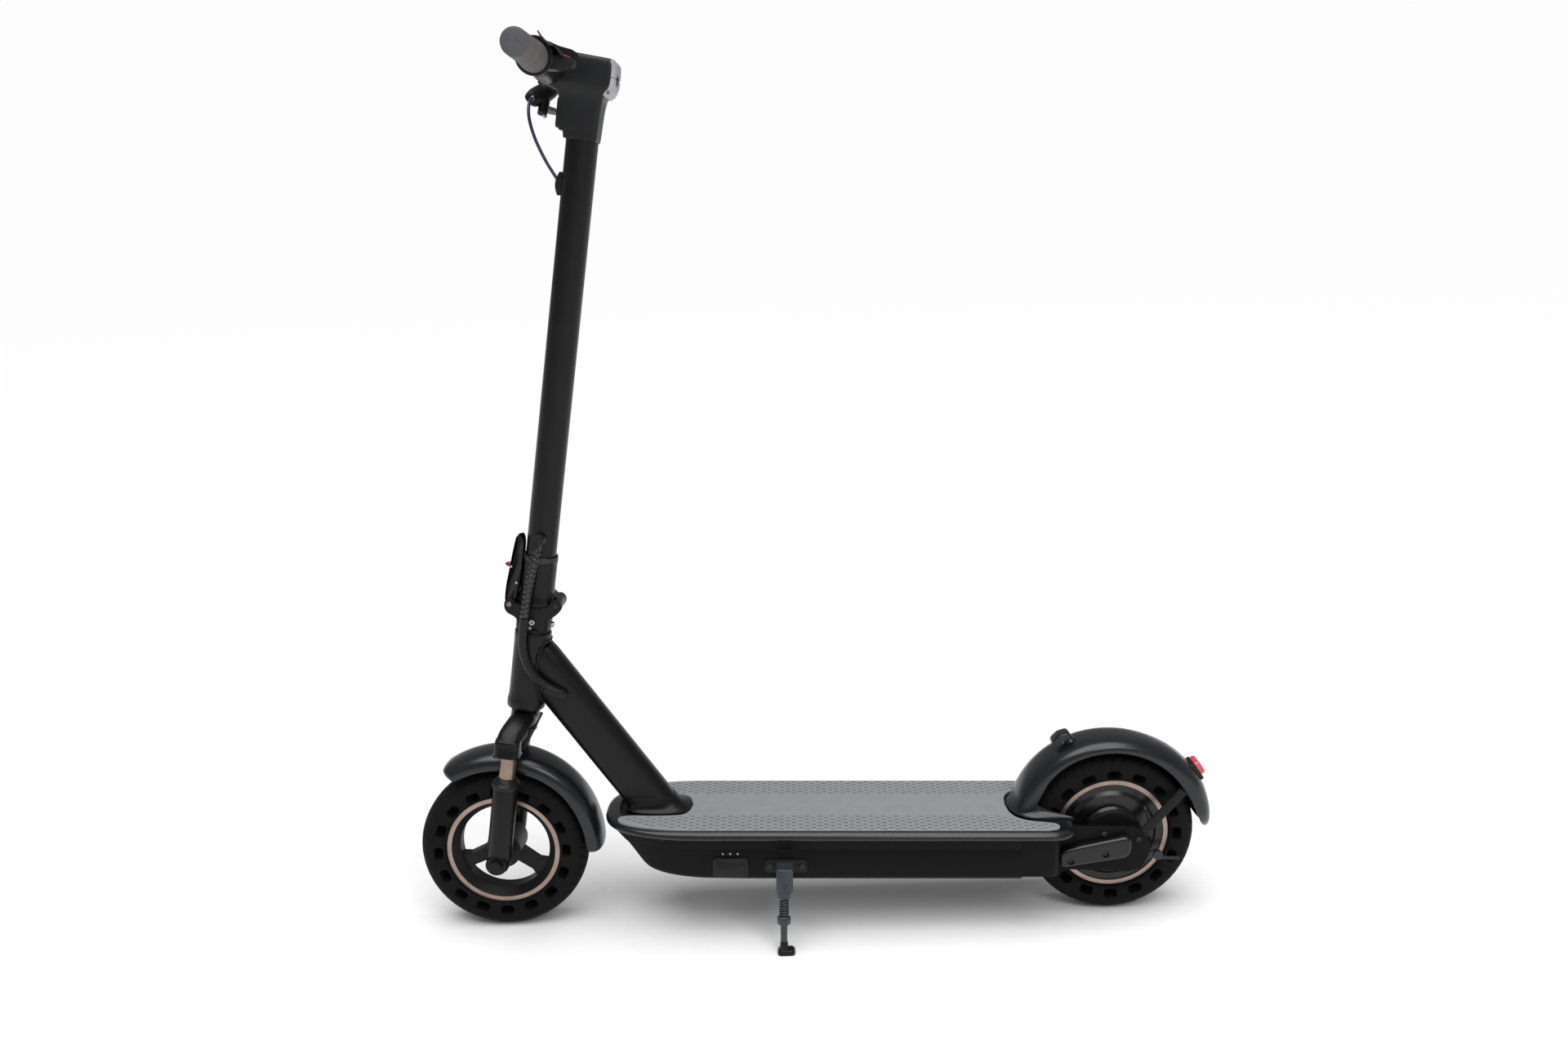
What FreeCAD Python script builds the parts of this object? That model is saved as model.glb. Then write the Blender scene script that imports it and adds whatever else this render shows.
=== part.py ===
import FreeCAD, Part
import math
import os
import Sketcher

# Electric kick scooter, in millimetres. +X is forward, +Y is the rider's left, +Z is up.
# The origin is at the middle of the box round the whole scooter, on the ground.

os.makedirs("parts", exist_ok=True)
Vector = FreeCAD.Vector
Placement = FreeCAD.Placement
Rotation = FreeCAD.Rotation
X_AXIS, Y_AXIS, Z_AXIS = Vector(1, 0, 0), Vector(0, 1, 0), Vector(0, 0, 1)

SIZES = {
    # wheels
    "tyre_radius": 125, "tyre_half_width": 30, "tread_half_width": 12, "tyre_seat_radius": 84.5,
    "tyre_hole_circle": 95.5, "tyre_hole_radius": 7, "tyre_hole_count": 16,
    "rim_radius": 84.2, "rim_half_width": 20, "rim_lip_radius": 77.5, "rim_waist_radius": 67,
    "spoke_width": 22, "spoke_turn": -97, "spoke_half_thickness": 8, "front_hub_radius": 27, "front_hub_half_width": 25,
    "bearing_radius": 14, "bearing_width": 9, "rim_ring_thickness": 2,
    "axle_radius": 6, "running_gap": 0.05, "axle_nut_radius": 9.5, "axle_nut_height": 8,
    "hub_dome_half_width": 34, "hub_shell_inner": 70,
    # where the wheels stand
    "front_axle_x": 467.15, "rear_axle_x": -441.25, "deck_nose_up": 1.77,
    "rear_axle_deck_x": -488, "rear_axle_deck_z": -35,
    # steering and fork, measured along and across the steering axis from the front axle's height
    "rake": 9.85, "fork_offset": 8.5, "leg_spacing": 53, "leg_radius": 17.5, "leg_bottom": -17,
    "leg_top": 128, "stanchion_radius": 11.5, "stanchion_bottom": 52, "slide_gap": 0.1,
    "spring_seat": 22, "clamp_bottom": 169, "crown_bottom": 185,
    "crown_top": 222, "crown_half_width": 70,
    "steerer_radius": 15, "steerer_bore": 11.5, "head_bottom": 226, "head_top": 344,
    "head_radius": 24.5, "head_bore": 17, "race_radius": 20.5, "race_height": 11,
    # fold joint
    "fold_base_bottom": 347, "fold_plane": 386, "fold_half_width": 21, "hinge_x": -31,
    "hinge_height": 390, "hinge_pin_radius": 4, "knuckle_radius": 9.5, "knuckle_half_width": 12,
    "latch_x": 35, "latch_height": 384, "latch_half_width": 12, "latch_pin_radius": 3.5,
    "sleeve_radius": 25, "sleeve_top": 458, "sleeve_foot_radius": 27,
    # stem and handlebar
    "stem_radius": 21.5, "stem_bore": 19.3, "stem_bottom": 392, "stem_top": 1086,
    "neck_bottom": 1029, "neck_half_width": 27, "bridge_half_width": 31,
    "bar_x": 48.9, "bar_height": 1113.9, "bar_radius": 15.9, "bar_bore": 13.6,
    "bar_half_length": 226, "shroud_radius": 23, "shroud_half_width": 38,
    "grip_start": 120, "grip_end": 229, "cap_end": 232, "grip_radius": 16.9, "grip_flare_radius": 20.8,
    "ring_start": 98, "ring_end": 119.7, "ring_radius": 21.5, "paddle_ring_start": 84,
    "paddle_ring_end": 97.6, "paddle_ring_radius": 20, "paddle_tip": 132,
    "lever_pivot_x": 41, "lever_pivot_y": -90, "lever_pin_radius": 3,
    # fenders
    "fender_outer": 156, "fender_wall": 2.5, "front_fender_half_width": 34.5,
    "rear_fender_half_width": 36, "fender_edge_radius": 133,
    # deck, in its own frame: x forward, z up from the top of the mat
    "deck_half_width": 84, "trim_half_width": 92, "mat_thickness": 4, "deck_depth": 74,
    "cover_thickness": 4, "deck_wall": 3.5, "trim_depth": 13, "notch_front": -345, "arm_end": -402,
    "notch_half_width": 42, "plate_inner": 56, "plate_outer": 63, "axle_cover_depth": 12,
    # kickstand
    "stand_x": 0, "stand_pivot_z": -74, "stand_bolt_radius": 4, "stand_eye_radius": 11,
    "stand_eye_inner": 97.5, "stand_eye_outer": 109, "stand_rod_radius": 5,
    # charging port
    "port_x": 77, "port_z": -57, "socket_radius": 8, "socket_depth": 12, "flap_width": 52,
    "flap_height": 30, "flap_thickness": 2.6,
    # cables
    "loom_radius": 6, "brake_cable_radius": 2.2,
}

doc = FreeCAD.newDocument("scooter")
sheet = doc.addObject("Spreadsheet::Sheet", "dims")
for row, (alias, value) in enumerate(SIZES.items(), start=1):
    sheet.set(f"A{row}", alias)
    sheet.set(f"B{row}", str(value))
    sheet.setAlias(f"B{row}", alias)
doc.recompute()


class Size:
    """A number together with the spreadsheet formula that gives it."""

    def __init__(self, value, text):
        self.value, self.text = float(value), text

    def __add__(self, other):
        other = as_size(other)
        return Size(self.value + other.value, f"({self.text} + {other.text})")

    def __sub__(self, other):
        other = as_size(other)
        return Size(self.value - other.value, f"({self.text} - {other.text})")

    def __mul__(self, other):
        other = as_size(other)
        return Size(self.value * other.value, f"({self.text} * {other.text})")

    def __truediv__(self, other):
        other = as_size(other)
        return Size(self.value / other.value, f"({self.text} / {other.text})")

    def __neg__(self):
        return Size(-self.value, f"(0 - {self.text})")

    def __float__(self):
        return self.value


def as_size(number):
    """A plain number as a size with no formula behind it but itself."""
    return number if isinstance(number, Size) else Size(number, repr(float(number)))


class Dims:
    """The spreadsheet's cells, by alias."""

    def __getattr__(self, alias):
        return Size(sheet.get(alias), f"dims.{alias}")


dim = Dims()


def at(x=0, y=0, z=0, turn=0, axis=Y_AXIS):
    """A placement: a turn about an axis, then a move."""
    return Placement(Vector(float(x), float(y), float(z)), Rotation(axis, float(turn)))


# The three frames that everything is placed in.
front_wheel = at(dim.front_axle_x, 0, dim.tyre_radius)
rear_wheel = at(dim.rear_axle_x, 0, dim.tyre_radius)
deck = rear_wheel * at(turn=-dim.deck_nose_up) * at(-dim.rear_axle_deck_x, 0, -dim.rear_axle_deck_z)
steer = front_wheel * at(turn=-dim.rake) * at(-dim.fork_offset)
bar = steer * at(dim.bar_x, 0, dim.bar_height)

PLANES = {"XY": "XY_Plane", "XZ": "XZ_Plane", "YZ": "YZ_Plane"}
nodes = []


def circle(x, y, radius):
    return ("circle", x, y, radius)


def box(x_low, x_high, y_low, y_high):
    return [(x_low, y_low), (x_high, y_low), (x_high, y_high), (x_low, y_high)]


def both_sides(half):
    """A closed outline from one half of it, whose second coordinates are positive."""
    return half + [(x, -as_size(y)) for x, y in reversed(half) if float(as_size(y)) != 0]


class Piece:
    """One sub-part: a PartDesign body that is built up feature by feature."""

    def __init__(self, label, place):
        self.body = doc.addObject("PartDesign::Body", label)
        self.body.Label = label
        self.body.AllowCompound = True
        self.body.Placement = place
        self.planes = {f.Role: f for f in self.body.Origin.OriginFeatures}
        self.count = 0
        nodes.append(self.body)

    def name(self, kind):
        self.count += 1
        return f"{self.body.Name}_{kind}{self.count}"

    def sketch(self, plane, loops, offset=0):
        """A sketch on one of the body's own planes, with its loops held by bound constraints."""
        made = self.body.newObject("Sketcher::SketchObject", self.name("sketch"))
        made.AttachmentSupport = (self.planes[PLANES[plane]], [""])
        made.MapMode = "FlatFace"
        shift = as_size(offset) if plane != "XZ" else -as_size(offset)
        if shift.value:
            made.AttachmentOffset = at(z=shift)
            made.setExpression("AttachmentOffset.Base.z", shift.text)
        for loop in loops:
            if isinstance(loop, tuple):
                self.add_circle(made, *loop[1:])
            else:
                self.add_outline(made, loop)
        return made

    def bind(self, made, constraint, size):
        index = made.addConstraint(constraint)
        if "dims." in size.text:
            made.setExpression(f"Constraints[{index}]", size.text)

    def place_point(self, made, index, point, x, y):
        for kind, size, axis in (("DistanceX", x, -2), ("DistanceY", y, -1)):
            if size.value == 0:
                made.addConstraint(Sketcher.Constraint("PointOnObject", index, point, axis))
            else:
                held = Sketcher.Constraint(kind, -1, 1, index, point, size.value)
                self.bind(made, held, size)

    def add_circle(self, made, x, y, radius):
        x, y, radius = as_size(x), as_size(y), as_size(radius)
        round_edge = Part.Circle(Vector(x.value, y.value, 0), Z_AXIS, radius.value)
        index = made.addGeometry(round_edge, False)
        self.place_point(made, index, 3, x, y)
        self.bind(made, Sketcher.Constraint("Radius", index, radius.value), radius)

    def add_outline(self, made, points):
        points = [(as_size(x), as_size(y)) for x, y in points]
        ends = [Vector(x.value, y.value, 0) for x, y in points]
        lines = [
            made.addGeometry(Part.LineSegment(a, b), False)
            for a, b in zip(ends, ends[1:] + ends[:1])
        ]
        for one, following in zip(lines, lines[1:] + lines[:1]):
            made.addConstraint(Sketcher.Constraint("Coincident", one, 2, following, 1))
        for index, (x, y) in zip(lines, points):
            self.place_point(made, index, 1, x, y)

    def feature(self, kind, sketch):
        made = self.body.newObject(f"PartDesign::{kind}", self.name(kind.lower()))
        made.Profile = sketch
        return made

    def pad(self, plane, loops, low, high, kind="Pad"):
        """Material (or, as a Pocket, a cut) between two levels along the plane's normal."""
        low, high = as_size(low), as_size(high)
        made = self.feature(kind, self.sketch(plane, loops, low))
        length = high - low
        made.Length = length.value
        made.setExpression("Length", length.text)
        made.Reversed = (plane == "XZ") != (kind == "Pocket")
        doc.recompute()
        return self

    def cut(self, plane, loops, low, high):
        before = self.body.Shape.Volume
        self.pad(plane, loops, low, high, "Pocket")
        if self.body.Shape.Volume > before - 0.01:
            raise ValueError(f"a cut takes nothing from {self.body.Label}")
        return self

    def turn(self, plane, loops, angle=360, axis="V_Axis", kind="Revolution", backwards=False):
        """Material (or, as a Groove, a cut) turned about the sketch's upright or flat axis."""
        sketch = self.sketch(plane, loops)
        made = self.feature(kind, sketch)
        made.ReferenceAxis = (sketch, [axis])
        made.Angle = float(angle)
        made.Reversed = backwards
        doc.recompute()
        return self

    def mirror(self, plane="XZ"):
        """Repeat the last feature on the other side of a plane."""
        last = self.body.Tip
        made = self.body.newObject("PartDesign::Mirrored", self.name("mirrored"))
        made.Originals = [last]
        made.MirrorPlane = (self.planes[PLANES[plane]], [""])
        self.body.Tip = made
        doc.recompute()
        return self

    def ring_of(self, count, axis="Y_Axis"):
        """Repeat the last feature evenly round an axis."""
        last = self.body.Tip
        made = self.body.newObject("PartDesign::PolarPattern", self.name("pattern"))
        made.Originals = [last]
        made.Axis = (self.planes[axis], [""])
        made.Occurrences = int(float(count))
        made.Angle = 360
        self.body.Tip = made
        doc.recompute()
        return self

    def round_edges(self, radius, chosen, kind="Fillet"):
        """Round (or chamfer) the edges that a test picks, in the piece's own frame."""
        base = self.body.Tip
        names = [f"Edge{n}" for n, edge in enumerate(base.Shape.Edges, 1) if chosen(edge)]
        if not names:
            raise ValueError(f"no edge to round on {self.body.Label}")
        made = self.body.newObject(f"PartDesign::{kind}", self.name(kind.lower()))
        made.Base = (base, names)
        size = as_size(radius)
        made.setExpression("Radius" if kind == "Fillet" else "Size", size.text)
        doc.recompute()
        if "Invalid" in made.State or not made.Shape.isValid():
            raise ValueError(f"rounding fails on {self.body.Label}")
        return self


def runs_along(axis):
    """A test for straight edges that run along one axis."""
    def chosen(edge):
        if not isinstance(edge.Curve, Part.Line):
            return False
        return abs(edge.tangentAt(edge.FirstParameter).dot(axis)) > 0.999
    return chosen


def lies_in(axis, level):
    """A test for edges that lie in one plane across an axis."""
    def chosen(edge):
        box = edge.BoundBox
        low, high = (box.XMin, box.XMax), (box.YMin, box.YMax)
        ends = {"X": low, "Y": high, "Z": (box.ZMin, box.ZMax)}[axis]
        return abs(ends[0] - float(level)) < 0.01 and abs(ends[1] - float(level)) < 0.01
    return chosen


def shaped(label, shape, place):
    """A sub-part whose form comes straight from Part's own functions."""
    made = doc.addObject("Part::Feature", label)
    made.Label = label
    made.Shape = shape
    made.Placement = place
    nodes.append(made)
    return made


# ---- wheels ----

def tyre_profile():
    seat, width, flat = dim.tyre_seat_radius, dim.tyre_half_width, dim.tread_half_width
    outer = dim.tyre_radius
    half = [(seat, 22), (seat + 13, width - 1), (outer - 12, width), (outer - 4, width - 7), (outer, flat)]
    return both_sides(half)


def honeycomb_tyre(label, place):
    """A solid rubber tyre, lightened by a ring of holes from side to side."""
    piece = Piece(label, place).turn("XY", [tyre_profile()])
    hole = circle(dim.tyre_hole_circle, 0, dim.tyre_hole_radius)
    piece.cut("XZ", [hole], -dim.tyre_half_width - 1, dim.tyre_half_width + 1)
    return piece.ring_of(dim.tyre_hole_count)


def rim_rings(label, place):
    """The coloured ring on each face of a rim."""
    face = dim.rim_half_width
    ring = box(dim.rim_lip_radius, dim.rim_radius, face, face + dim.rim_ring_thickness)
    return Piece(label, place).turn("XY", [ring]).mirror()


def front_rim():
    lip, waist, face = dim.rim_lip_radius, dim.rim_waist_radius, dim.rim_half_width
    barrel = both_sides([(dim.rim_radius, face), (lip, face), (waist, dim.spoke_half_thickness + 2)])
    hub_face, bearing = dim.front_hub_half_width, dim.bearing_radius
    shelf = hub_face - dim.bearing_width
    hub = [(dim.front_hub_radius, hub_face), (bearing, hub_face), (bearing, shelf), (bearing - 4, shelf)]
    piece = Piece("front_rim", front_wheel).turn("XY", [barrel]).turn("XY", [both_sides(hub)])
    half = dim.spoke_width / 2
    spoke = [(dim.front_hub_radius - 3, half - 1), (waist - 12, half - 2), (waist + 2, half + 5),
             (waist + 2, -half - 5), (waist - 12, -half + 2), (dim.front_hub_radius - 3, -half + 1)]
    piece.pad("XZ", [spoke], -dim.spoke_half_thickness, dim.spoke_half_thickness).ring_of(3)
    piece.body.Placement = front_wheel * at(turn=dim.spoke_turn)
    return piece


def front_bearings():
    face, width = dim.front_hub_half_width, dim.bearing_width
    race = box(dim.axle_radius + dim.running_gap, dim.bearing_radius, face - width, face)
    return Piece("front_bearings", front_wheel).turn("XY", [race]).mirror()


def rear_hub():
    """The hub motor's shell: a rim with a stepped dome on each side, open inside for the stator."""
    bore, dome, face = dim.axle_radius + dim.running_gap, dim.hub_dome_half_width, dim.rim_half_width
    outside = [(bore, dome), (20, dome), (24, dome - 4), (40, dome - 5), (44, dome - 9), (62, dome - 10),
               (67, face), (dim.rim_radius, face)]
    inside = [(dim.hub_shell_inner, face - 4), (60, dome - 14), (bore, dome - 8)]
    mirrored = [(x, -as_size(y)) for x, y in reversed(outside)]
    under = [(x, -as_size(y)) for x, y in reversed(inside)]
    return Piece("rear_hub", rear_wheel).turn("XY", [outside + mirrored + under + inside])


def motor_stator():
    core = both_sides([(dim.axle_radius, 13), (30, 13), (30, 9), (dim.hub_shell_inner - 4, 9)])
    return Piece("motor_stator", rear_wheel).turn("XY", [core])


def axle(label, place, reach, inner):
    """A shaft from side to side with a nut near each end."""
    shaft = both_sides([(0, reach), (dim.axle_radius, reach)])
    nut = box(dim.axle_radius - 1, dim.axle_nut_radius, inner, inner + dim.axle_nut_height)
    return Piece(label, place).turn("XY", [shaft]).turn("XY", [nut]).mirror()


# ---- fork ----

def leg_circle(radius, side=1):
    return circle(dim.fork_offset, dim.leg_spacing * side, radius)


def lower_legs():
    """Two sliding legs that carry the axle, bored for the stanchions."""
    piece = Piece("lower_legs", steer)
    piece.pad("XY", [leg_circle(dim.leg_radius)], dim.leg_bottom, dim.leg_top)
    piece.pad("XY", [leg_circle(dim.leg_radius, -1)], dim.leg_bottom, dim.leg_top)
    piece.round_edges(5, lies_in("Z", dim.leg_bottom))
    bore = dim.stanchion_radius + dim.slide_gap
    piece.cut("XY", [leg_circle(bore), leg_circle(bore, -1)], dim.spring_seat, dim.leg_top + 1)
    reach = dim.leg_spacing + dim.leg_radius + 1
    return piece.cut("XZ", [circle(dim.fork_offset, 0, dim.axle_radius)], -reach, reach)


def stanchions():
    piece = Piece("stanchions", steer)
    top = dim.crown_bottom + 3
    return piece.pad("XY", [leg_circle(dim.stanchion_radius)], dim.stanchion_bottom, top).mirror()


def fork_springs():
    piece = Piece("fork_springs", steer)
    rings = [leg_circle(9.5), leg_circle(7)]
    return piece.pad("XY", rings, dim.spring_seat, dim.stanchion_bottom).mirror()


def fork_crown():
    piece = Piece("fork_crown", steer)
    low, top, wide = dim.crown_bottom, dim.crown_top, dim.crown_half_width
    side = [(-22, top), (18, top), (30, top - 17), (30, low), (-7, low), (-22, top - 20)]
    piece.pad("XZ", [side], -wide, wide)
    piece.round_edges(6, runs_along(Y_AXIS))
    shoulder = [(44, top + 1), (wide + 1, top + 1), (wide + 1, top - 20), (64, top - 20)]
    piece.cut("YZ", [shoulder], -30, 40).mirror()
    rear = [(-30, 28), (-21, 28), (-8, 44), (-8, wide + 1), (-30, wide + 1)]
    piece.cut("XY", [rear], low - 1, top + 1).mirror()
    clamp = box(-8, 29, dim.leg_spacing - 15.5, wide)
    piece.pad("XY", [clamp], dim.clamp_bottom, low + 12).round_edges(4, lies_in("Z", dim.clamp_bottom))
    piece = piece.pad("XY", [box(-8, 29, -wide, -dim.leg_spacing + 15.5)], dim.clamp_bottom, low + 12)
    piece.round_edges(4, lies_in("Z", dim.clamp_bottom))
    for hand in (1, -1):
        piece.cut("XY", [leg_circle(dim.stanchion_radius, hand)], dim.clamp_bottom - 1, low + 3)
    return piece.cut("XY", [circle(0, 0, dim.steerer_radius)], low + 8, top + 1)


def steerer():
    low, high = dim.crown_bottom + 8, dim.fold_plane - 8
    tube = [circle(0, 0, dim.steerer_radius), circle(0, 0, dim.steerer_bore)]
    return Piece("steerer", steer).pad("XY", tube, low, high)


def fender_section(half_width):
    outer, wall, edge = dim.fender_outer, dim.fender_wall, dim.fender_edge_radius
    crown = [(outer, 14), (outer - 3, half_width - 8), (outer - 10, half_width), (edge, half_width)]
    inner = [(edge, half_width - wall), (outer - 10.6, half_width - wall),
             (outer - 5, half_width - 9.5), (outer - wall, 13)]
    half = crown + inner
    return half + [(x, -as_size(y)) for x, y in reversed(half)]


def fender(label, place, half_width, sweep):
    """A crowned channel swept round the wheel's axis, backwards over the top."""
    outline = fender_section(half_width)
    return Piece(label, place).turn("XY", [outline], sweep, backwards=True)


def front_fender():
    start = at(3.5, 0, 4, turn=-59.8)
    piece = fender("front_fender", front_wheel * start, dim.front_fender_half_width, 122)
    return piece


def headset_bearings():
    height = dim.race_height
    rings = [circle(0, 0, dim.race_radius), circle(0, 0, dim.steerer_radius + dim.running_gap)]
    piece = Piece("headset_bearings", steer)
    piece.pad("XY", rings, dim.head_bottom, dim.head_bottom + height)
    return piece.pad("XY", rings, dim.head_top - height, dim.head_top)


def head_tube():
    piece = Piece("head_tube", steer)
    low, high = dim.head_bottom, dim.head_top
    piece.pad("XY", [circle(0, 0, dim.head_radius)], low, high)
    piece.cut("XY", [circle(0, 0, dim.head_bore)], low - 1, high + 1)
    piece.cut("XY", [circle(0, 0, dim.race_radius)], low - 1, low + dim.race_height)
    piece.cut("XY", [circle(0, 0, dim.race_radius)], high - dim.race_height, high + 1)
    return piece.round_edges(1.5, lies_in("Z", dim.head_bottom))


# ---- fold joint ----

def fold_base():
    """The lower half of the fold, clamped on the steerer, with ears for the hinge and the latch."""
    piece = Piece("fold_base", steer)
    low, plane, wide = dim.fold_base_bottom, dim.fold_plane, dim.fold_half_width
    piece.pad("XY", [circle(0, 0, 25)], low, plane - 0.5)
    side = [(-22, low + 6), (24, low + 6), (27, low + 20), (38, low + 24), (42, low + 34), (41, low + 44),
            (36, low + 46), (28.5, low + 44), (28.5, plane - 1), (-22, plane - 1)]
    piece.pad("XZ", [side], -wide, wide)
    hinge_x, hinge_z, knuckle = dim.hinge_x, dim.hinge_height, dim.knuckle_radius
    gap = dim.knuckle_half_width + 0.4
    lug = [circle(hinge_x, hinge_z, knuckle)]
    arm = [(-20, low + 12), (hinge_x - knuckle + 1, hinge_z - 4), (hinge_x, hinge_z), (-20, plane - 1)]
    piece.pad("XZ", lug, gap, wide).mirror().pad("XZ", [arm], gap, wide).mirror()
    relief = [circle(hinge_x, hinge_z, knuckle + 1.5)]
    piece.cut("XZ", relief, -gap, gap)
    hole = dim.hinge_pin_radius
    piece.cut("XZ", [circle(hinge_x, hinge_z, hole)], -wide - 1, wide + 1)
    slot = box(26.5, 50, low, plane + 10)
    piece.cut("XZ", [slot], -dim.latch_half_width - 0.4, dim.latch_half_width + 0.4)
    latch_hole = circle(dim.latch_x, dim.latch_height, dim.latch_pin_radius)
    piece.cut("XZ", [latch_hole], -wide - 1, wide + 1)
    return piece.cut("XY", [circle(0, 0, dim.steerer_radius)], low - 1, plane - 8)


def fold_pins():
    """The hinge pin at the back and the latch pin at the front."""
    wide = dim.fold_half_width
    piece = Piece("fold_pins", steer)
    hinge = circle(dim.hinge_x, dim.hinge_height, dim.hinge_pin_radius)
    latch = circle(dim.latch_x, dim.latch_height, dim.latch_pin_radius)
    return piece.pad("XZ", [hinge], -wide - 1.5, wide + 1.5).pad("XZ", [latch], -wide - 1.5, wide + 1.5)


def fold_sleeve():
    """The upper half of the fold: a sleeve round the stem with the hinge's middle knuckle."""
    piece = Piece("fold_sleeve", steer)
    low, top, outer = dim.fold_plane + 0.5, dim.sleeve_top, dim.sleeve_radius
    profile = [(0, low), (dim.sleeve_foot_radius, low), (dim.sleeve_foot_radius, low + 9),
               (outer - 1, low + 14), (outer - 1, top - 12), (outer, top - 12), (outer, top), (0, top)]
    piece.turn("XZ", [profile])
    hinge_x, hinge_z, knuckle = dim.hinge_x, dim.hinge_height, dim.knuckle_radius
    half = dim.knuckle_half_width
    arm = [(hinge_x, hinge_z + knuckle), (hinge_x, hinge_z), (-20, low), (-20, hinge_z + knuckle + 10)]
    clear = dim.knuckle_radius + 1.2
    piece.cut("XZ", [circle(hinge_x, hinge_z, clear)], half, dim.sleeve_foot_radius).mirror()
    piece.pad("XZ", [circle(hinge_x, hinge_z, knuckle)], -half, half)
    piece.pad("XZ", [arm], -half, half)
    piece.cut("XZ", [circle(hinge_x, hinge_z, dim.hinge_pin_radius + dim.running_gap)], -half, half)
    return piece.cut("XY", [circle(0, 0, dim.stem_radius)], dim.stem_bottom, top + 1)


def latch_lever():
    """The channel-shaped lever that locks the fold, hollow towards the stem."""
    piece = Piece("latch_lever", steer)
    x, z, half = dim.latch_x, dim.latch_height, dim.latch_half_width
    side = [(x - 6, z - 6), (x + 4, z - 7), (x + 9, z), (x + 9, z + 62), (x + 3, z + 104), (x - 3, z + 106),
            (x - 9, z + 70), (x - 9, z + 20), (x - 7, z + 12)]
    piece.pad("XZ", [side], -half, half)
    piece.round_edges(3, lies_in("Y", half)).round_edges(3, lies_in("Y", -half))
    hollow = [(x - 12, z + 18), (x + 4, z + 18), (x + 4, z + 62), (x - 1, z + 96), (x - 12, z + 96)]
    piece.cut("XZ", [hollow], -half + 3, half - 3)
    pin = circle(x, z, dim.latch_pin_radius + dim.running_gap)
    piece.cut("XZ", [pin], -half - 1, half + 1)
    return piece.cut("YZ", [circle(0, z + 56, 4.3)], x, x + 12)


def latch_button():
    x, z = dim.latch_x, dim.latch_height
    return Piece("latch_button", steer).pad("YZ", [circle(0, z + 56, 4)], x + 4.5, x + 15)


# ---- stem and head ----

def stem_tube():
    rings = [circle(0, 0, dim.stem_radius), circle(0, 0, dim.stem_bore)]
    return Piece("stem_tube", steer).pad("XY", rings, dim.stem_bottom, dim.stem_top)


def head_housing():
    """The T-shaped head: a neck over the stem, a bridge and a shroud round the bar."""
    piece = Piece("head_housing", steer)
    low, bar_z = dim.neck_bottom, dim.bar_height
    neck = [(-23, low), (23, low), (31.5, low + 12), (32, bar_z - 22), (-26, bar_z - 22)]
    piece.pad("XZ", [neck], -dim.neck_half_width, dim.neck_half_width)
    piece.round_edges(7, upright)
    bridge = [(-27, bar_z - 24), (26, bar_z - 26), (46, bar_z - 22), (dim.bar_x, bar_z + 22.5),
              (10, bar_z + 22), (-34, bar_z + 18)]
    piece.pad("XZ", [bridge], -dim.bridge_half_width, dim.bridge_half_width)
    shroud = [circle(dim.bar_x, bar_z, dim.shroud_radius)]
    piece.pad("XZ", shroud, -dim.shroud_half_width, dim.shroud_half_width)
    piece.cut("XZ", [circle(dim.bar_x, bar_z, dim.bar_radius)], -60, 60)
    return piece.cut("XY", [circle(0, 0, dim.stem_radius)], low - 1, dim.stem_top)


def upright(edge):
    """Edges of the neck that run up its corners."""
    if not isinstance(edge.Curve, Part.Line):
        return False
    return abs(edge.tangentAt(edge.FirstParameter).z) > 0.9


def display_cover():
    """The pale cap on the head's back face, under the rider's eye."""
    z = dim.bar_height
    face = [(-27.2, z - 24), (-34.2, z + 18), (-38, z + 16), (-41, z), (-38, z - 14), (-32, z - 25)]
    piece = Piece("display_cover", steer).pad("XZ", [face], -29, 29)
    return piece.cut("YZ", [circle(0, z - 4, 7.3)], -45, -34.5)


def power_button():
    z = dim.bar_height
    return Piece("power_button", steer).pad("YZ", [circle(0, z - 4, 7)], -41.8, -36)


def handlebar():
    length = dim.bar_half_length
    rings = [circle(0, 0, dim.bar_radius), circle(0, 0, dim.bar_bore)]
    return Piece("handlebar", bar).pad("XZ", rings, -length, length)


def grips():
    inner, start, end, cap = dim.bar_radius, dim.grip_start, dim.grip_end, dim.cap_end
    slim, flare = dim.grip_radius, dim.grip_flare_radius
    outline = [(inner, start), (flare, start), (flare - 1, start + 12), (slim + 1, start + 40),
               (slim, start + 70), (slim, end), (slim - 2, cap), (0, cap), (0, dim.bar_half_length),
               (inner, dim.bar_half_length)]
    return Piece("grips", bar).turn("XY", [outline]).mirror()


def throttle_ring():
    """The ring inside the left grip, with the switch box behind it."""
    start, end, inner = dim.ring_start, dim.ring_end, dim.bar_radius
    piece = Piece("throttle_ring", bar)
    piece.pad("XZ", [circle(0, 0, dim.ring_radius), circle(0, 0, inner)], start, end)
    case = [(-17, -15), (-40, -18), (-48, -12), (-47, 0), (-20, 4), (-17, 4)]
    piece.pad("XZ", [case], start, end - 2).round_edges(2, lies_in("X", -48))
    return piece.cut("XY", [box(-43, -25, start + 5, end - 7)], -4, 6)


def switch_button():
    start, end = dim.ring_start, dim.ring_end
    piece = Piece("switch_button", bar)
    return piece.pad("XY", [box(-42.7, -25.3, start + 5.3, end - 7.3)], -1, 5.5)


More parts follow.
